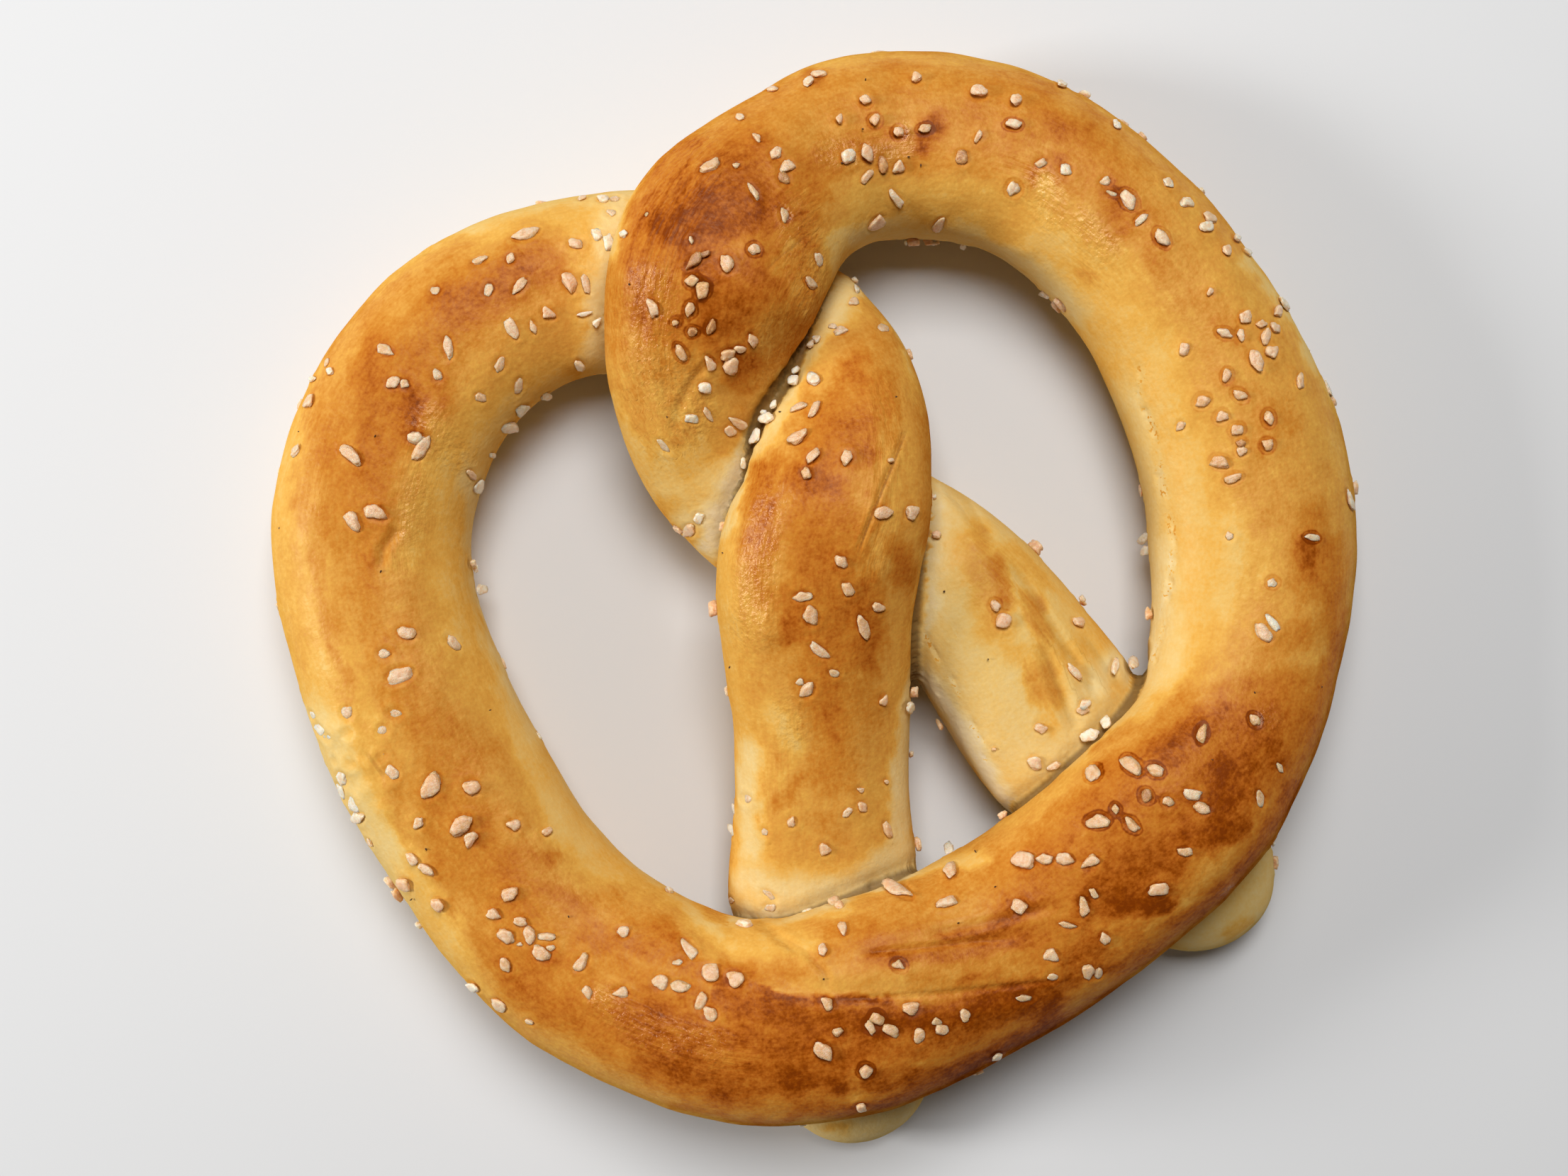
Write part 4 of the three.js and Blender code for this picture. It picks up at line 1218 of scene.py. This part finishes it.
class Skin:
    """The smooth dough's surface, on which the grains and specks are placed."""

    def __init__(self, mesh):
        self.points, self.normals = vertex_array(mesh, "co"), vertex_array(mesh, "normal")
        shape = bmesh.new()
        shape.from_mesh(mesh)
        self.tree = BVHTree.FromBMesh(shape)
        shape.free()

    def shown_at(self, across, down):
        """The place that shows at a pixel, or the edge nearest to it, and its normal."""
        direction = sight_direction(across, down)
        place, normal, _, _ = self.tree.ray_cast(Vector(CAMERA_PLACE), Vector(direction))
        if place is not None:
            return np.array(place), np.array(normal)
        away = self.points - CAMERA_PLACE
        across_sight = away - np.outer(away @ direction, direction)
        nearest = np.argmin(np.linalg.norm(across_sight, axis=1))
        return self.points[nearest] - across_sight[nearest] * EDGE_OVERHANG, self.normals[nearest]


def photo_axis(normal, degrees, length):
    """A half axis of a grain, along the crust, that shows in the photograph turned by degrees."""
    turn = math.radians(degrees)
    flat = math.cos(turn) * IMAGE_RIGHT - math.sin(turn) * IMAGE_UP
    rise = -(flat @ normal) / max(normal[2], STEEPEST)
    return (flat + np.array([0, 0, rise])) * length / 2


def photo_seats(skin):
    """The grains that the photograph shows."""
    seats = []
    for across, down, length, width, turn, look in GRAINS:
        middle, normal = skin.shown_at(across, down)
        scale = (CAMERA_PLACE[2] - middle[2]) / FOCAL_PIXELS
        long_axis = photo_axis(normal, turn, length * scale)
        wide_axis = photo_axis(normal, turn + 90, width * scale)
        thickness = GRAIN_THICKNESS * width * scale + LEAST_THICKNESS
        seats.append(Seat(middle, normal, long_axis, wide_axis, thickness, look))
    return seats


def hidden_seats(skin):
    """Grains on the outer sides, where the photograph doesn't look."""
    draw = random.Random(SEED)
    steep = np.abs(skin.normals[:, 2]) < HIDDEN_STEEPNESS
    sides = np.flatnonzero(steep & (skin.points[:, 2] > HIDDEN_LOWEST))
    seats = []
    for _ in range(HIDDEN_GRAINS):
        k = sides[draw.randrange(len(sides))]
        normal = skin.normals[k]
        level = np.cross(normal, [0, 0, 1.0])
        level /= np.linalg.norm(level)
        rise = np.cross(level, normal)
        turn = draw.uniform(0, math.pi)
        length = draw.uniform(*HIDDEN_SIZES)
        width = length * draw.uniform(*HIDDEN_WIDTHS)
        long_axis = (math.cos(turn) * level + math.sin(turn) * rise) * length / 2
        wide_axis = (math.cos(turn) * rise - math.sin(turn) * level) * width / 2
        look = draw.choice(HIDDEN_LOOKS)
        seats.append(Seat(skin.points[k], normal, long_axis, wide_axis, HIDDEN_THICKNESS * width, look))
    return seats


def grain_marks(seats, points):
    """At each point: distance to the nearest grain's outline, and how strong its ring is."""
    tree = kd_tree(points)
    gap = np.full(len(points), FAR_FROM_GRAINS)
    ringed = np.zeros(len(points))
    for seat in seats:
        reach = np.linalg.norm(seat.long_axis) + MARKED_ROUND_GRAIN
        found = tree.find_range(seat.middle.tolist(), reach)
        near = np.array([k for _, k, _ in found], int)
        if len(near) == 0:
            continue
        distance = seat.gap(points[near])
        closer = distance < gap[near]
        gap[near[closer]] = distance[closer]
        if seat.ringed:
            ringed[near] = np.maximum(ringed[near], smoothstep(*RINGED_GAPS, distance))
    return gap, ringed


# ---- The crust's relief ----
def crust_relief(points, facing, seats, rope):
    """How far the crust stands out from the smooth rope at each point."""
    at = to_photo(points)
    shown = smoothstep(*SHOWN_FACING, facing)
    relief = np.zeros(len(points))
    for seed, (size, height) in enumerate(LUMPS):
        relief += height * NOISE_PEAK * noise_at(points, size, seed)
    for radius, height, line in BUMPS:
        distance, _, _ = line_near(at, line)
        relief += height * bell(distance * PIXEL, radius) * shown
    for half, depth, _, line in CREASES:
        distance, run_to, run = line_near(at, line)
        away = np.abs(distance) * PIXEL
        profile = -bell(away, half) + CREASE_LIP * bell(away - CREASE_LIP_PLACE * half, half)
        relief += depth * profile * end_fade(run_to, run) * shown
    tear_depth = TEAR_DEPTH + TEAR_ROUGHNESS * noise_at(points, TEAR_GRAIN, TEAR_SEED)
    relief -= torn_share(points, at, shown) * tear_depth
    along, round_it = rope.places(points)
    stretched = np.stack([round_it / WRINKLE_WIDTH, along / WRINKLE_LENGTH, np.zeros(len(points))], 1)
    relief += WRINKLE_HEIGHT * most(WRINKLES, at, shown) * noise_at(stretched, 1.0, WRINKLE_SEED)
    gap, _ = grain_marks(seats, points)
    relief -= DIMPLE_DEPTH * smoothstep(*DIMPLE_GAPS, gap)
    relief += RIM_HEIGHT * bell(gap - RIM_PLACE, RIM_WIDTH)
    flat = smoothstep(*FLAT_HEIGHTS, points[:, 2]) * smoothstep(*FLAT_FACING, facing)
    return relief * (1 - FLATTENED * flat)


def torn_share(points, at, shown):
    """How torn the crust is at each place: the seams come and go along their lines."""
    return most(TEARS, at, shown) * smoothstep(*SEAM_BREAKS, noise_at(points, SEAM_SIZE, SEAM_SEED))


def crease_marks(at, shown):
    """Signed distance to the nearest crease in half widths, and how much painted shade lies in that
    crease.
    """
    side = np.full(len(at), FAR_FROM_CREASES)
    dark = np.zeros(len(at))
    for half, _, darkness, line in CREASES:
        if darkness == 0:
            continue
        distance, run_to, run = line_near(at, line)
        share = distance * PIXEL / half
        closer = np.abs(share) < np.abs(side)
        side[closer] = share[closer]
        dark[closer] = (darkness * end_fade(run_to, run))[closer]
    return side, dark * smoothstep(*CREASE_DARK_TO, np.abs(side)) * shown


# ---- The dough ----
def smooth_dough(rope):
    """The joined rope as even quads, before its relief."""
    mesh = with_modifier(rope_mesh(rope.rings), "REMESH", mode="VOXEL", voxel_size=VOXEL)
    points, ends = vertex_array(mesh, "co"), edge_ends(mesh)
    hollow = (to_neighbours(points, ends) * vertex_array(mesh, "normal")).sum(1)
    at_fold = (hollow > FOLD_HOLLOW) & (points[:, 2] > FOLD_LOWEST)
    near_fold = bell(distance_to(kd_tree(points[at_fold]), points), FOLD_EDGE)
    share = SMOOTH_SHARE - FOLD_SHARE_DROP * near_fold
    for _ in range(SMOOTH_ROUNDS):
        points += share[:, None] * to_neighbours(points, ends)
    points[:, 2] = np.maximum(points[:, 2], 0)
    set_places(mesh, points)
    return mesh


def cut_crust(mesh, seats, rope):
    """Give the smooth dough its relief and cut its folds."""
    points, normals, ends = vertex_array(mesh, "co"), vertex_array(mesh, "normal"), edge_ends(mesh)
    relief = crust_relief(points, normals[:, 2], seats, rope)
    fold = rope.fold_gap(points)
    set_attribute(mesh, "fold", fold)
    inward = -normals
    for _ in range(FOLD_NORMAL_ROUNDS):
        inward += SMOOTH_SHARE * to_neighbours(inward, ends)
    inward /= np.linalg.norm(inward, axis=1)[:, None]
    points += normals * relief[:, None]
    for width, depth in FOLD_GROOVES:
        points += inward * depth * bell(fold, width)[:, None]
    for _ in range(FOLD_ROUNDS):
        points += SMOOTH_SHARE * bell(fold, FOLD_SMOOTHED)[:, None] * to_neighbours(points, ends)
    points[:, 2] = np.maximum(points[:, 2], 0)
    set_places(mesh, points)


def mark_crust(mesh, seats, rope):
    """Give the crust the attributes that its material reads."""
    points, facing = vertex_array(mesh, "co"), vertex_array(mesh, "normal")[:, 2]
    at, shown = to_photo(points), smoothstep(*SHOWN_FACING, facing)
    along, round_it = rope.places(points)
    gap, ringed = grain_marks(seats, points)
    side, dark = crease_marks(at, shown)
    marks = {
        "along": along,
        "round": round_it,
        "bake": bake_level(points, facing, rope, along),
        "level": smoothstep(*LEVEL_FACING, facing),
        "gap": gap,
        "ringed": ringed,
        "crease": side,
        # painted shade in the creases
        "painted_crease_shade": dark,
        "wrinkled": most(WRINKLES, at, shown),
        "torn": torn_share(points, at, shown),
        "glossy": most(GLOSSES, at, shown),
    }
    for name, values in marks.items():
        set_attribute(mesh, name, values)


def make_dough(mesh, seats, rope):
    cut_crust(mesh, seats, rope)
    mesh = decimated(mesh, DOUGH_TRIANGLES)
    mark_crust(mesh, seats, rope)
    set_places(mesh, vertex_array(mesh, "co") * MM)
    dough = add_piece("crust", mesh, crust_material())
    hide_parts("pretzel")


# ---- Salt and specks ----
def ball(rounds):
    """The vertices and faces of a unit ball of triangles."""
    shape = bmesh.new()
    bmesh.ops.create_icosphere(shape, subdivisions=rounds, radius=1.0)
    vertices = np.array([vertex.co[:] for vertex in shape.verts])
    faces = np.array([[vertex.index for vertex in face.verts] for face in shape.faces])
    shape.free()
    return vertices, faces


def chip_planes(draw):
    """The (turn, height, depth) of the flat faces of one crystal: sides, a top and chipped corners."""
    sides = draw.randint(*SIDE_COUNTS)
    first = draw.uniform(0, 2 * math.pi)
    planes = []
    for k in range(sides):
        turn = first + 2 * math.pi * (k + draw.uniform(-SIDE_UNEVEN, SIDE_UNEVEN)) / sides
        planes.append((turn, draw.uniform(*SIDE_HEIGHTS), draw.uniform(*SIDE_DEPTHS)))
    planes.append((draw.uniform(0, 2 * math.pi), draw.uniform(*TOP_HEIGHTS), draw.uniform(*TOP_DEPTHS)))
    for _ in range(draw.randint(*CHIP_COUNTS)):
        turn = draw.uniform(0, 2 * math.pi)
        planes.append((turn, draw.uniform(*CHIP_HEIGHTS), draw.uniform(*CHIP_DEPTHS)))
    return planes


def chipped(vertices, draw):
    """A ball cut by a crystal's planes with worn edges, and stretched back to its full size."""
    total = np.ones(len(vertices))
    for turn, height, depth in chip_planes(draw):
        level = math.sqrt(1 - height * height)
        direction = np.array([level * math.cos(turn), level * math.sin(turn), height])
        total += np.maximum(vertices @ direction / depth, 0) ** EDGE_WEAR
    reach = total ** (-1 / EDGE_WEAR)
    seed = draw.uniform(*LUMP_SEEDS)
    for size, height in GRAIN_LUMPS:
        reach *= 1 + height * noise_at(vertices, size, seed)
    cut = vertices * reach[:, None]
    low, high = cut.min(0), cut.max(0)
    return (cut - (low + high) / 2) / ((high - low) / 2)


def grain_vertices(seat, shape, draw):
    """A crystal on its seat, leaning a little."""
    lean = seat.normal + np.array([draw.uniform(-GRAIN_LEAN, GRAIN_LEAN) for _ in range(3)])
    lean /= np.linalg.norm(lean)
    middle = seat.middle + seat.normal * (LOOK_LIFTS[seat.look] * seat.thickness)
    return placed(shape, middle, seat.long_axis, seat.wide_axis, lean * seat.thickness / 2)


def make_salt(seats, rope):
    draw = random.Random(SEED + 1)
    middles = np.array([seat.middle for seat in seats])
    facing = np.array([seat.normal[2] for seat in seats])
    under = bake_level(middles, facing, rope, rope.places(middles)[0])
    melted = BROWNED_DROP * smoothstep(*BROWNED_LEVELS, under)
    unit, unit_faces = ball(GRAIN_FINENESS)
    grains, tones = [], []
    for seat, drop in zip(seats, melted):
        shape = chipped(unit, draw)
        grains.append(grain_vertices(seat, shape, draw))
        ringed = RINGED_TONE if seat.ringed else 1
        tone = LOOK_TONES[seat.look] * ringed + draw.uniform(-TONE_SPREAD, TONE_SPREAD)
        tones.append(tone - drop - RIM_DROP * smoothstep(*RIM_LEVELS, shape[:, 2]))
    mesh = joined_mesh("salt", grains, unit_faces)
    set_attribute(mesh, "tone", np.concatenate(tones))
    add_piece("salt", decimated(mesh, SALT_TRIANGLES), salt_material())


def make_specks(skin):
    draw = random.Random(SEED + 2)
    unit, unit_faces = ball(SPECK_FINENESS)
    specks = []
    for across, down, size in SPECKS:
        middle, normal = skin.shown_at(across, down)
        turn = draw.uniform(0, 180)
        long_axis = photo_axis(normal, turn, size * PIXEL * draw.uniform(*SPECK_LENGTHS))
        wide_axis = photo_axis(normal, turn + 90, size * PIXEL * SPECK_WIDTH)
        specks.append(placed(unit, middle, long_axis, wide_axis, normal * SPECK_HEIGHT))
    material = plain_material("specks", SPECK_COLOUR, SPECK_ROUGHNESS)
    add_piece("specks", joined_mesh("specks", specks, unit_faces), material)


# ---- Nodes of the materials ----
def new_material(name):
    material = bpy.data.materials.new(name)
    material.use_nodes = True
    return material, material.node_tree, material.node_tree.nodes["Principled BSDF"]


def add_node(tree, kind, inputs=(), **settings):
    """A node with its settings, and with each input either set or linked."""
    made = tree.nodes.new(kind)
    for name, value in settings.items():
        setattr(made, name, value)
    set_inputs(tree, made, dict(inputs))
    return made


def set_inputs(tree, node, inputs):
    for name, value in inputs.items():
        if isinstance(value, bpy.types.NodeSocket):
            tree.links.new(value, node.inputs[name])
        else:
            node.inputs[name].default_value = value


def math_of(tree, operation, a, b=0.0, c=0.0):
    inputs = {0: a, 1: b, 2: c}
    return add_node(tree, "ShaderNodeMath", inputs, operation=operation).outputs[0]


def times(tree, a, b):
    return math_of(tree, "MULTIPLY", a, b)


def times_plus(tree, a, b, c):
    """a times b, plus c."""
    return math_of(tree, "MULTIPLY_ADD", a, b, c)


def attribute_of(tree, name):
    return add_node(tree, "ShaderNodeAttribute", attribute_name=name).outputs["Fac"]


def ramp_of(tree, value, stops):
    """A colour ramp through (position, colour) stops."""
    ramp = add_node(tree, "ShaderNodeValToRGB", {"Fac": value})
    elements = ramp.color_ramp.elements
    while len(elements) < len(stops):
        elements.new(0.5)
    for element, (position, colour) in zip(elements, stops):
        element.position = position
        element.color = (*colour, 1)
    return ramp.outputs["Color"]


def noise_of(tree, size, detail=NOISE_DETAIL):
    """Noise between 0 and 1 with lumps about size wide, in millimetres."""
    place = add_node(tree, "ShaderNodeTexCoord").outputs["Object"]
    inputs = {"Scale": 1 / (size * MM), "Detail": detail, "Vector": place}
    return add_node(tree, "ShaderNodeTexNoise", inputs).outputs["Fac"]


def streaks_of(tree, width, length):
    """Noise between 0 and 1 in streaks that run along the rope."""
    across = math_of(tree, "DIVIDE", attribute_of(tree, "round"), width)
    along = math_of(tree, "DIVIDE", attribute_of(tree, "along"), length)
    place = add_node(tree, "ShaderNodeCombineXYZ", {0: across, 1: along}).outputs[0]
    inputs = {"Scale": 1.0, "Detail": NOISE_DETAIL, "Vector": place}
    return add_node(tree, "ShaderNodeTexNoise", inputs).outputs["Fac"]


def range_of(tree, value, low, high, to_low=0.0, to_high=1.0):
    """The value with low to high eased to to_low to to_high, and held there beyond them."""
    inputs = {0: value, 1: low, 2: high, 3: to_low, 4: to_high}
    made = add_node(tree, "ShaderNodeMapRange", inputs, interpolation_type="SMOOTHSTEP")
    return made.outputs[0]


def bump_of(tree, height, depth, strength=1.0):
    """A bump of the given depth in millimetres."""
    inputs = {"Height": height, "Distance": depth * MM, "Strength": strength}
    return add_node(tree, "ShaderNodeBump", inputs).outputs["Normal"]


# ---- The crust's material ----
def mottled(tree):
    """The bake level with its mottling, which is stronger where the crust is browned."""
    total = bake = attribute_of(tree, "bake")
    strength = range_of(tree, bake, *MOTTLE_STRENGTH)
    streaked = times_plus(tree, attribute_of(tree, "wrinkled"), STREAKS_IN_WRINKLES, STREAKS_ELSEWHERE)
    streaked = times(tree, streaked, strength)
    layers = [(noise_of(tree, size), height, strength) for size, height in MOTTLES]
    layers += [(streaks_of(tree, width, length), height, streaked) for width, length, height in STREAKS]
    for layer, height, share in layers:
        spread = math_of(tree, "SUBTRACT", layer, 0.5)
        total = times_plus(tree, times(tree, spread, height), share, total)
    return total


def grain_rings(tree):
    """A thin brown line round every grain, and a wavy ring a little way off round some."""
    gap = attribute_of(tree, "gap")
    waved = times_plus(tree, noise_of(tree, *RING_WAVES), RING_WAVE, gap)
    inside = range_of(tree, waved, *RING_INSIDE)
    outer = math_of(tree, "SUBTRACT", range_of(tree, waved, *RING_OUTSIDE), inside)
    outer = times(tree, outer, attribute_of(tree, "ringed"))
    inner = times(tree, range_of(tree, gap, *GRAIN_LINE), GRAIN_LINE_SHARE)
    ring = times_plus(tree, outer, RING_SHARE, inner)
    return times(tree, ring, range_of(tree, attribute_of(tree, "bake"), *RING_STRENGTH))


def crease_shade(tree):
    # painted shade in the creases, darkest along their middles
    crease = math_of(tree, "POWER", attribute_of(tree, "crease"), 2.0)
    return times(tree, range_of(tree, crease, *CREASE_SHADE), attribute_of(tree, "painted_crease_shade"))


def groove_shade(tree, crease):
    """How much of the painted shade, the groove's dark colour, shows in folds and creases."""
    fold = attribute_of(tree, "fold")
    deep = math_of(tree, "ADD", range_of(tree, fold, *FOLD_SHADE), range_of(tree, fold, *FOLD_SIDES))
    return math_of(tree, "MAXIMUM", deep, times(tree, crease, CREASE_GROOVE))


def crust_colour(tree):
    """The colour of the bake level, with the rings, the torn seams, and painted shade in creases and
    folds.
    """
    crease = crease_shade(tree)
    bake = times_plus(tree, grain_rings(tree), RING_BROWNING, mottled(tree))
    # the painted shade of the creases, laid on as extra browning
    bake = times_plus(tree, crease, CREASE_SHADE_AS_BROWNING, bake)
    # paler torn seams, with painted shade in their pores
    pores = range_of(tree, noise_of(tree, *PORES), *PORE_LEVELS)
    bake = times_plus(tree, attribute_of(tree, "torn"), pores, bake)
    low, high = CRUST_RAMP[0][0], CRUST_RAMP[-1][0]
    stops = [((level - low) / (high - low), colour) for level, colour in CRUST_RAMP]
    share = math_of(tree, "DIVIDE", math_of(tree, "SUBTRACT", bake, low), high - low)
    # painted shade of folds and creases: the groove's dark colour mixed in
    inputs = {0: groove_shade(tree, crease), 6: ramp_of(tree, share, stops), 7: (*GROOVE_SHADE_COLOUR, 1)}
    return add_node(tree, "ShaderNodeMix", inputs, data_type="RGBA").outputs[2]


def crust_bump(tree, glossy):
    """Grit all over, stronger where it glints, and fine wrinkles along the rope."""
    lines = streaks_of(tree, *WRINKLE_LINES)
    wrinkle = times(tree, lines, attribute_of(tree, "wrinkled"))
    height = times_plus(tree, glossy, GRIT_IN_GLOSS, GRIT_HEIGHT)
    height = times(tree, noise_of(tree, *GRIT), height)
    return bump_of(tree, math_of(tree, "ADD", wrinkle, height), CRUST_BUMP)


def crust_material():
    material, tree, shader = new_material("crust")
    glossy = attribute_of(tree, "glossy")
    rough = range_of(tree, noise_of(tree, *ROUGH_PATCHES), *ROUGHNESS)
    shine = times_plus(tree, glossy, GLOSS_SHINE, SHINE)
    inputs = {
        "Base Color": crust_colour(tree),
        "Roughness": times_plus(tree, glossy, -GLOSS_SMOOTHER, rough),
        "Specular IOR Level": times(tree, shine, attribute_of(tree, "level")),
        "Specular Tint": (*SHINE_TINT, 1),
        "Normal": crust_bump(tree, glossy),
    }
    set_inputs(tree, shader, inputs)
    return material


# ---- The other materials ----
def salt_material():
    material, tree, shader = new_material("salt")
    cloud = range_of(tree, noise_of(tree, *CLOUDS), *CLOUD_TONES)
    tone = math_of(tree, "ADD", attribute_of(tree, "tone"), cloud)
    inputs = {
        "Base Color": ramp_of(tree, tone, SALT_RAMP),
        "Roughness": SALT_ROUGHNESS,
        "IOR": SALT_IOR,
        "Subsurface Weight": SALT_GLOW,
        "Subsurface Radius": SALT_GLOW_COLOUR,
        "Subsurface Scale": SALT_GLOW_DEPTH * MM,
        "Normal": bump_of(tree, noise_of(tree, *SALT_GRIT), SALT_BUMP, SALT_BUMP_STRENGTH),
    }
    set_inputs(tree, shader, inputs)
    return material


def plain_material(name, colour, roughness, shine=0.5):
    material, tree, shader = new_material(name)
    inputs = {"Base Color": (*colour, 1), "Roughness": roughness, "Specular IOR Level": shine}
    set_inputs(tree, shader, inputs)
    return material


# ---- Floor and light ----
def make_stage():
    mesh = bpy.data.meshes.new("floor")
    half = FLOOR_WIDTH / 2 * MM
    corners = [(-half, -half, 0), (half, -half, 0), (half, half, 0), (-half, half, 0)]
    mesh.from_pydata(corners, [], [(0, 1, 2, 3)])
    mesh.materials.append(plain_material("floor", FLOOR_COLOUR, FLOOR_ROUGHNESS, 0.0))
    floor = bpy.data.objects.new("floor", mesh)
    floor.location.z = -FLOOR_GAP * MM
    bpy.context.scene.collection.objects.link(floor)


def make_lights():
    for name, (across, up, high), width, power in LAMPS:
        away = Vector(across * IMAGE_RIGHT + up * IMAGE_UP + np.array([0, 0, high])).normalized()
        data = bpy.data.lights.new(name, "AREA")
        data.size = width * MM
        data.energy = power
        lamp = bpy.data.objects.new(name, data)
        lamp.location = away * (LAMP_DISTANCE * MM)
        lamp.rotation_euler = away.to_track_quat("Z", "Y").to_euler()
        bpy.context.scene.collection.objects.link(lamp)


def make_world():
    world = bpy.data.worlds.new("studio")
    world.use_nodes = True
    background = world.node_tree.nodes["Background"]
    background.inputs["Color"].default_value = (1, 1, 1, 1)
    background.inputs["Strength"].default_value = WORLD_STRENGTH
    bpy.context.scene.world = world
    bpy.context.scene.view_settings.view_transform = "Standard"


make_camera()
rope = Rope()
dough_shape = smooth_dough(rope)
skin = Skin(dough_shape)
grain_seats = photo_seats(skin) + hidden_seats(skin)
make_specks(skin)
make_dough(dough_shape, grain_seats, rope)
make_salt(grain_seats, rope)
make_stage()
make_lights()
make_world()
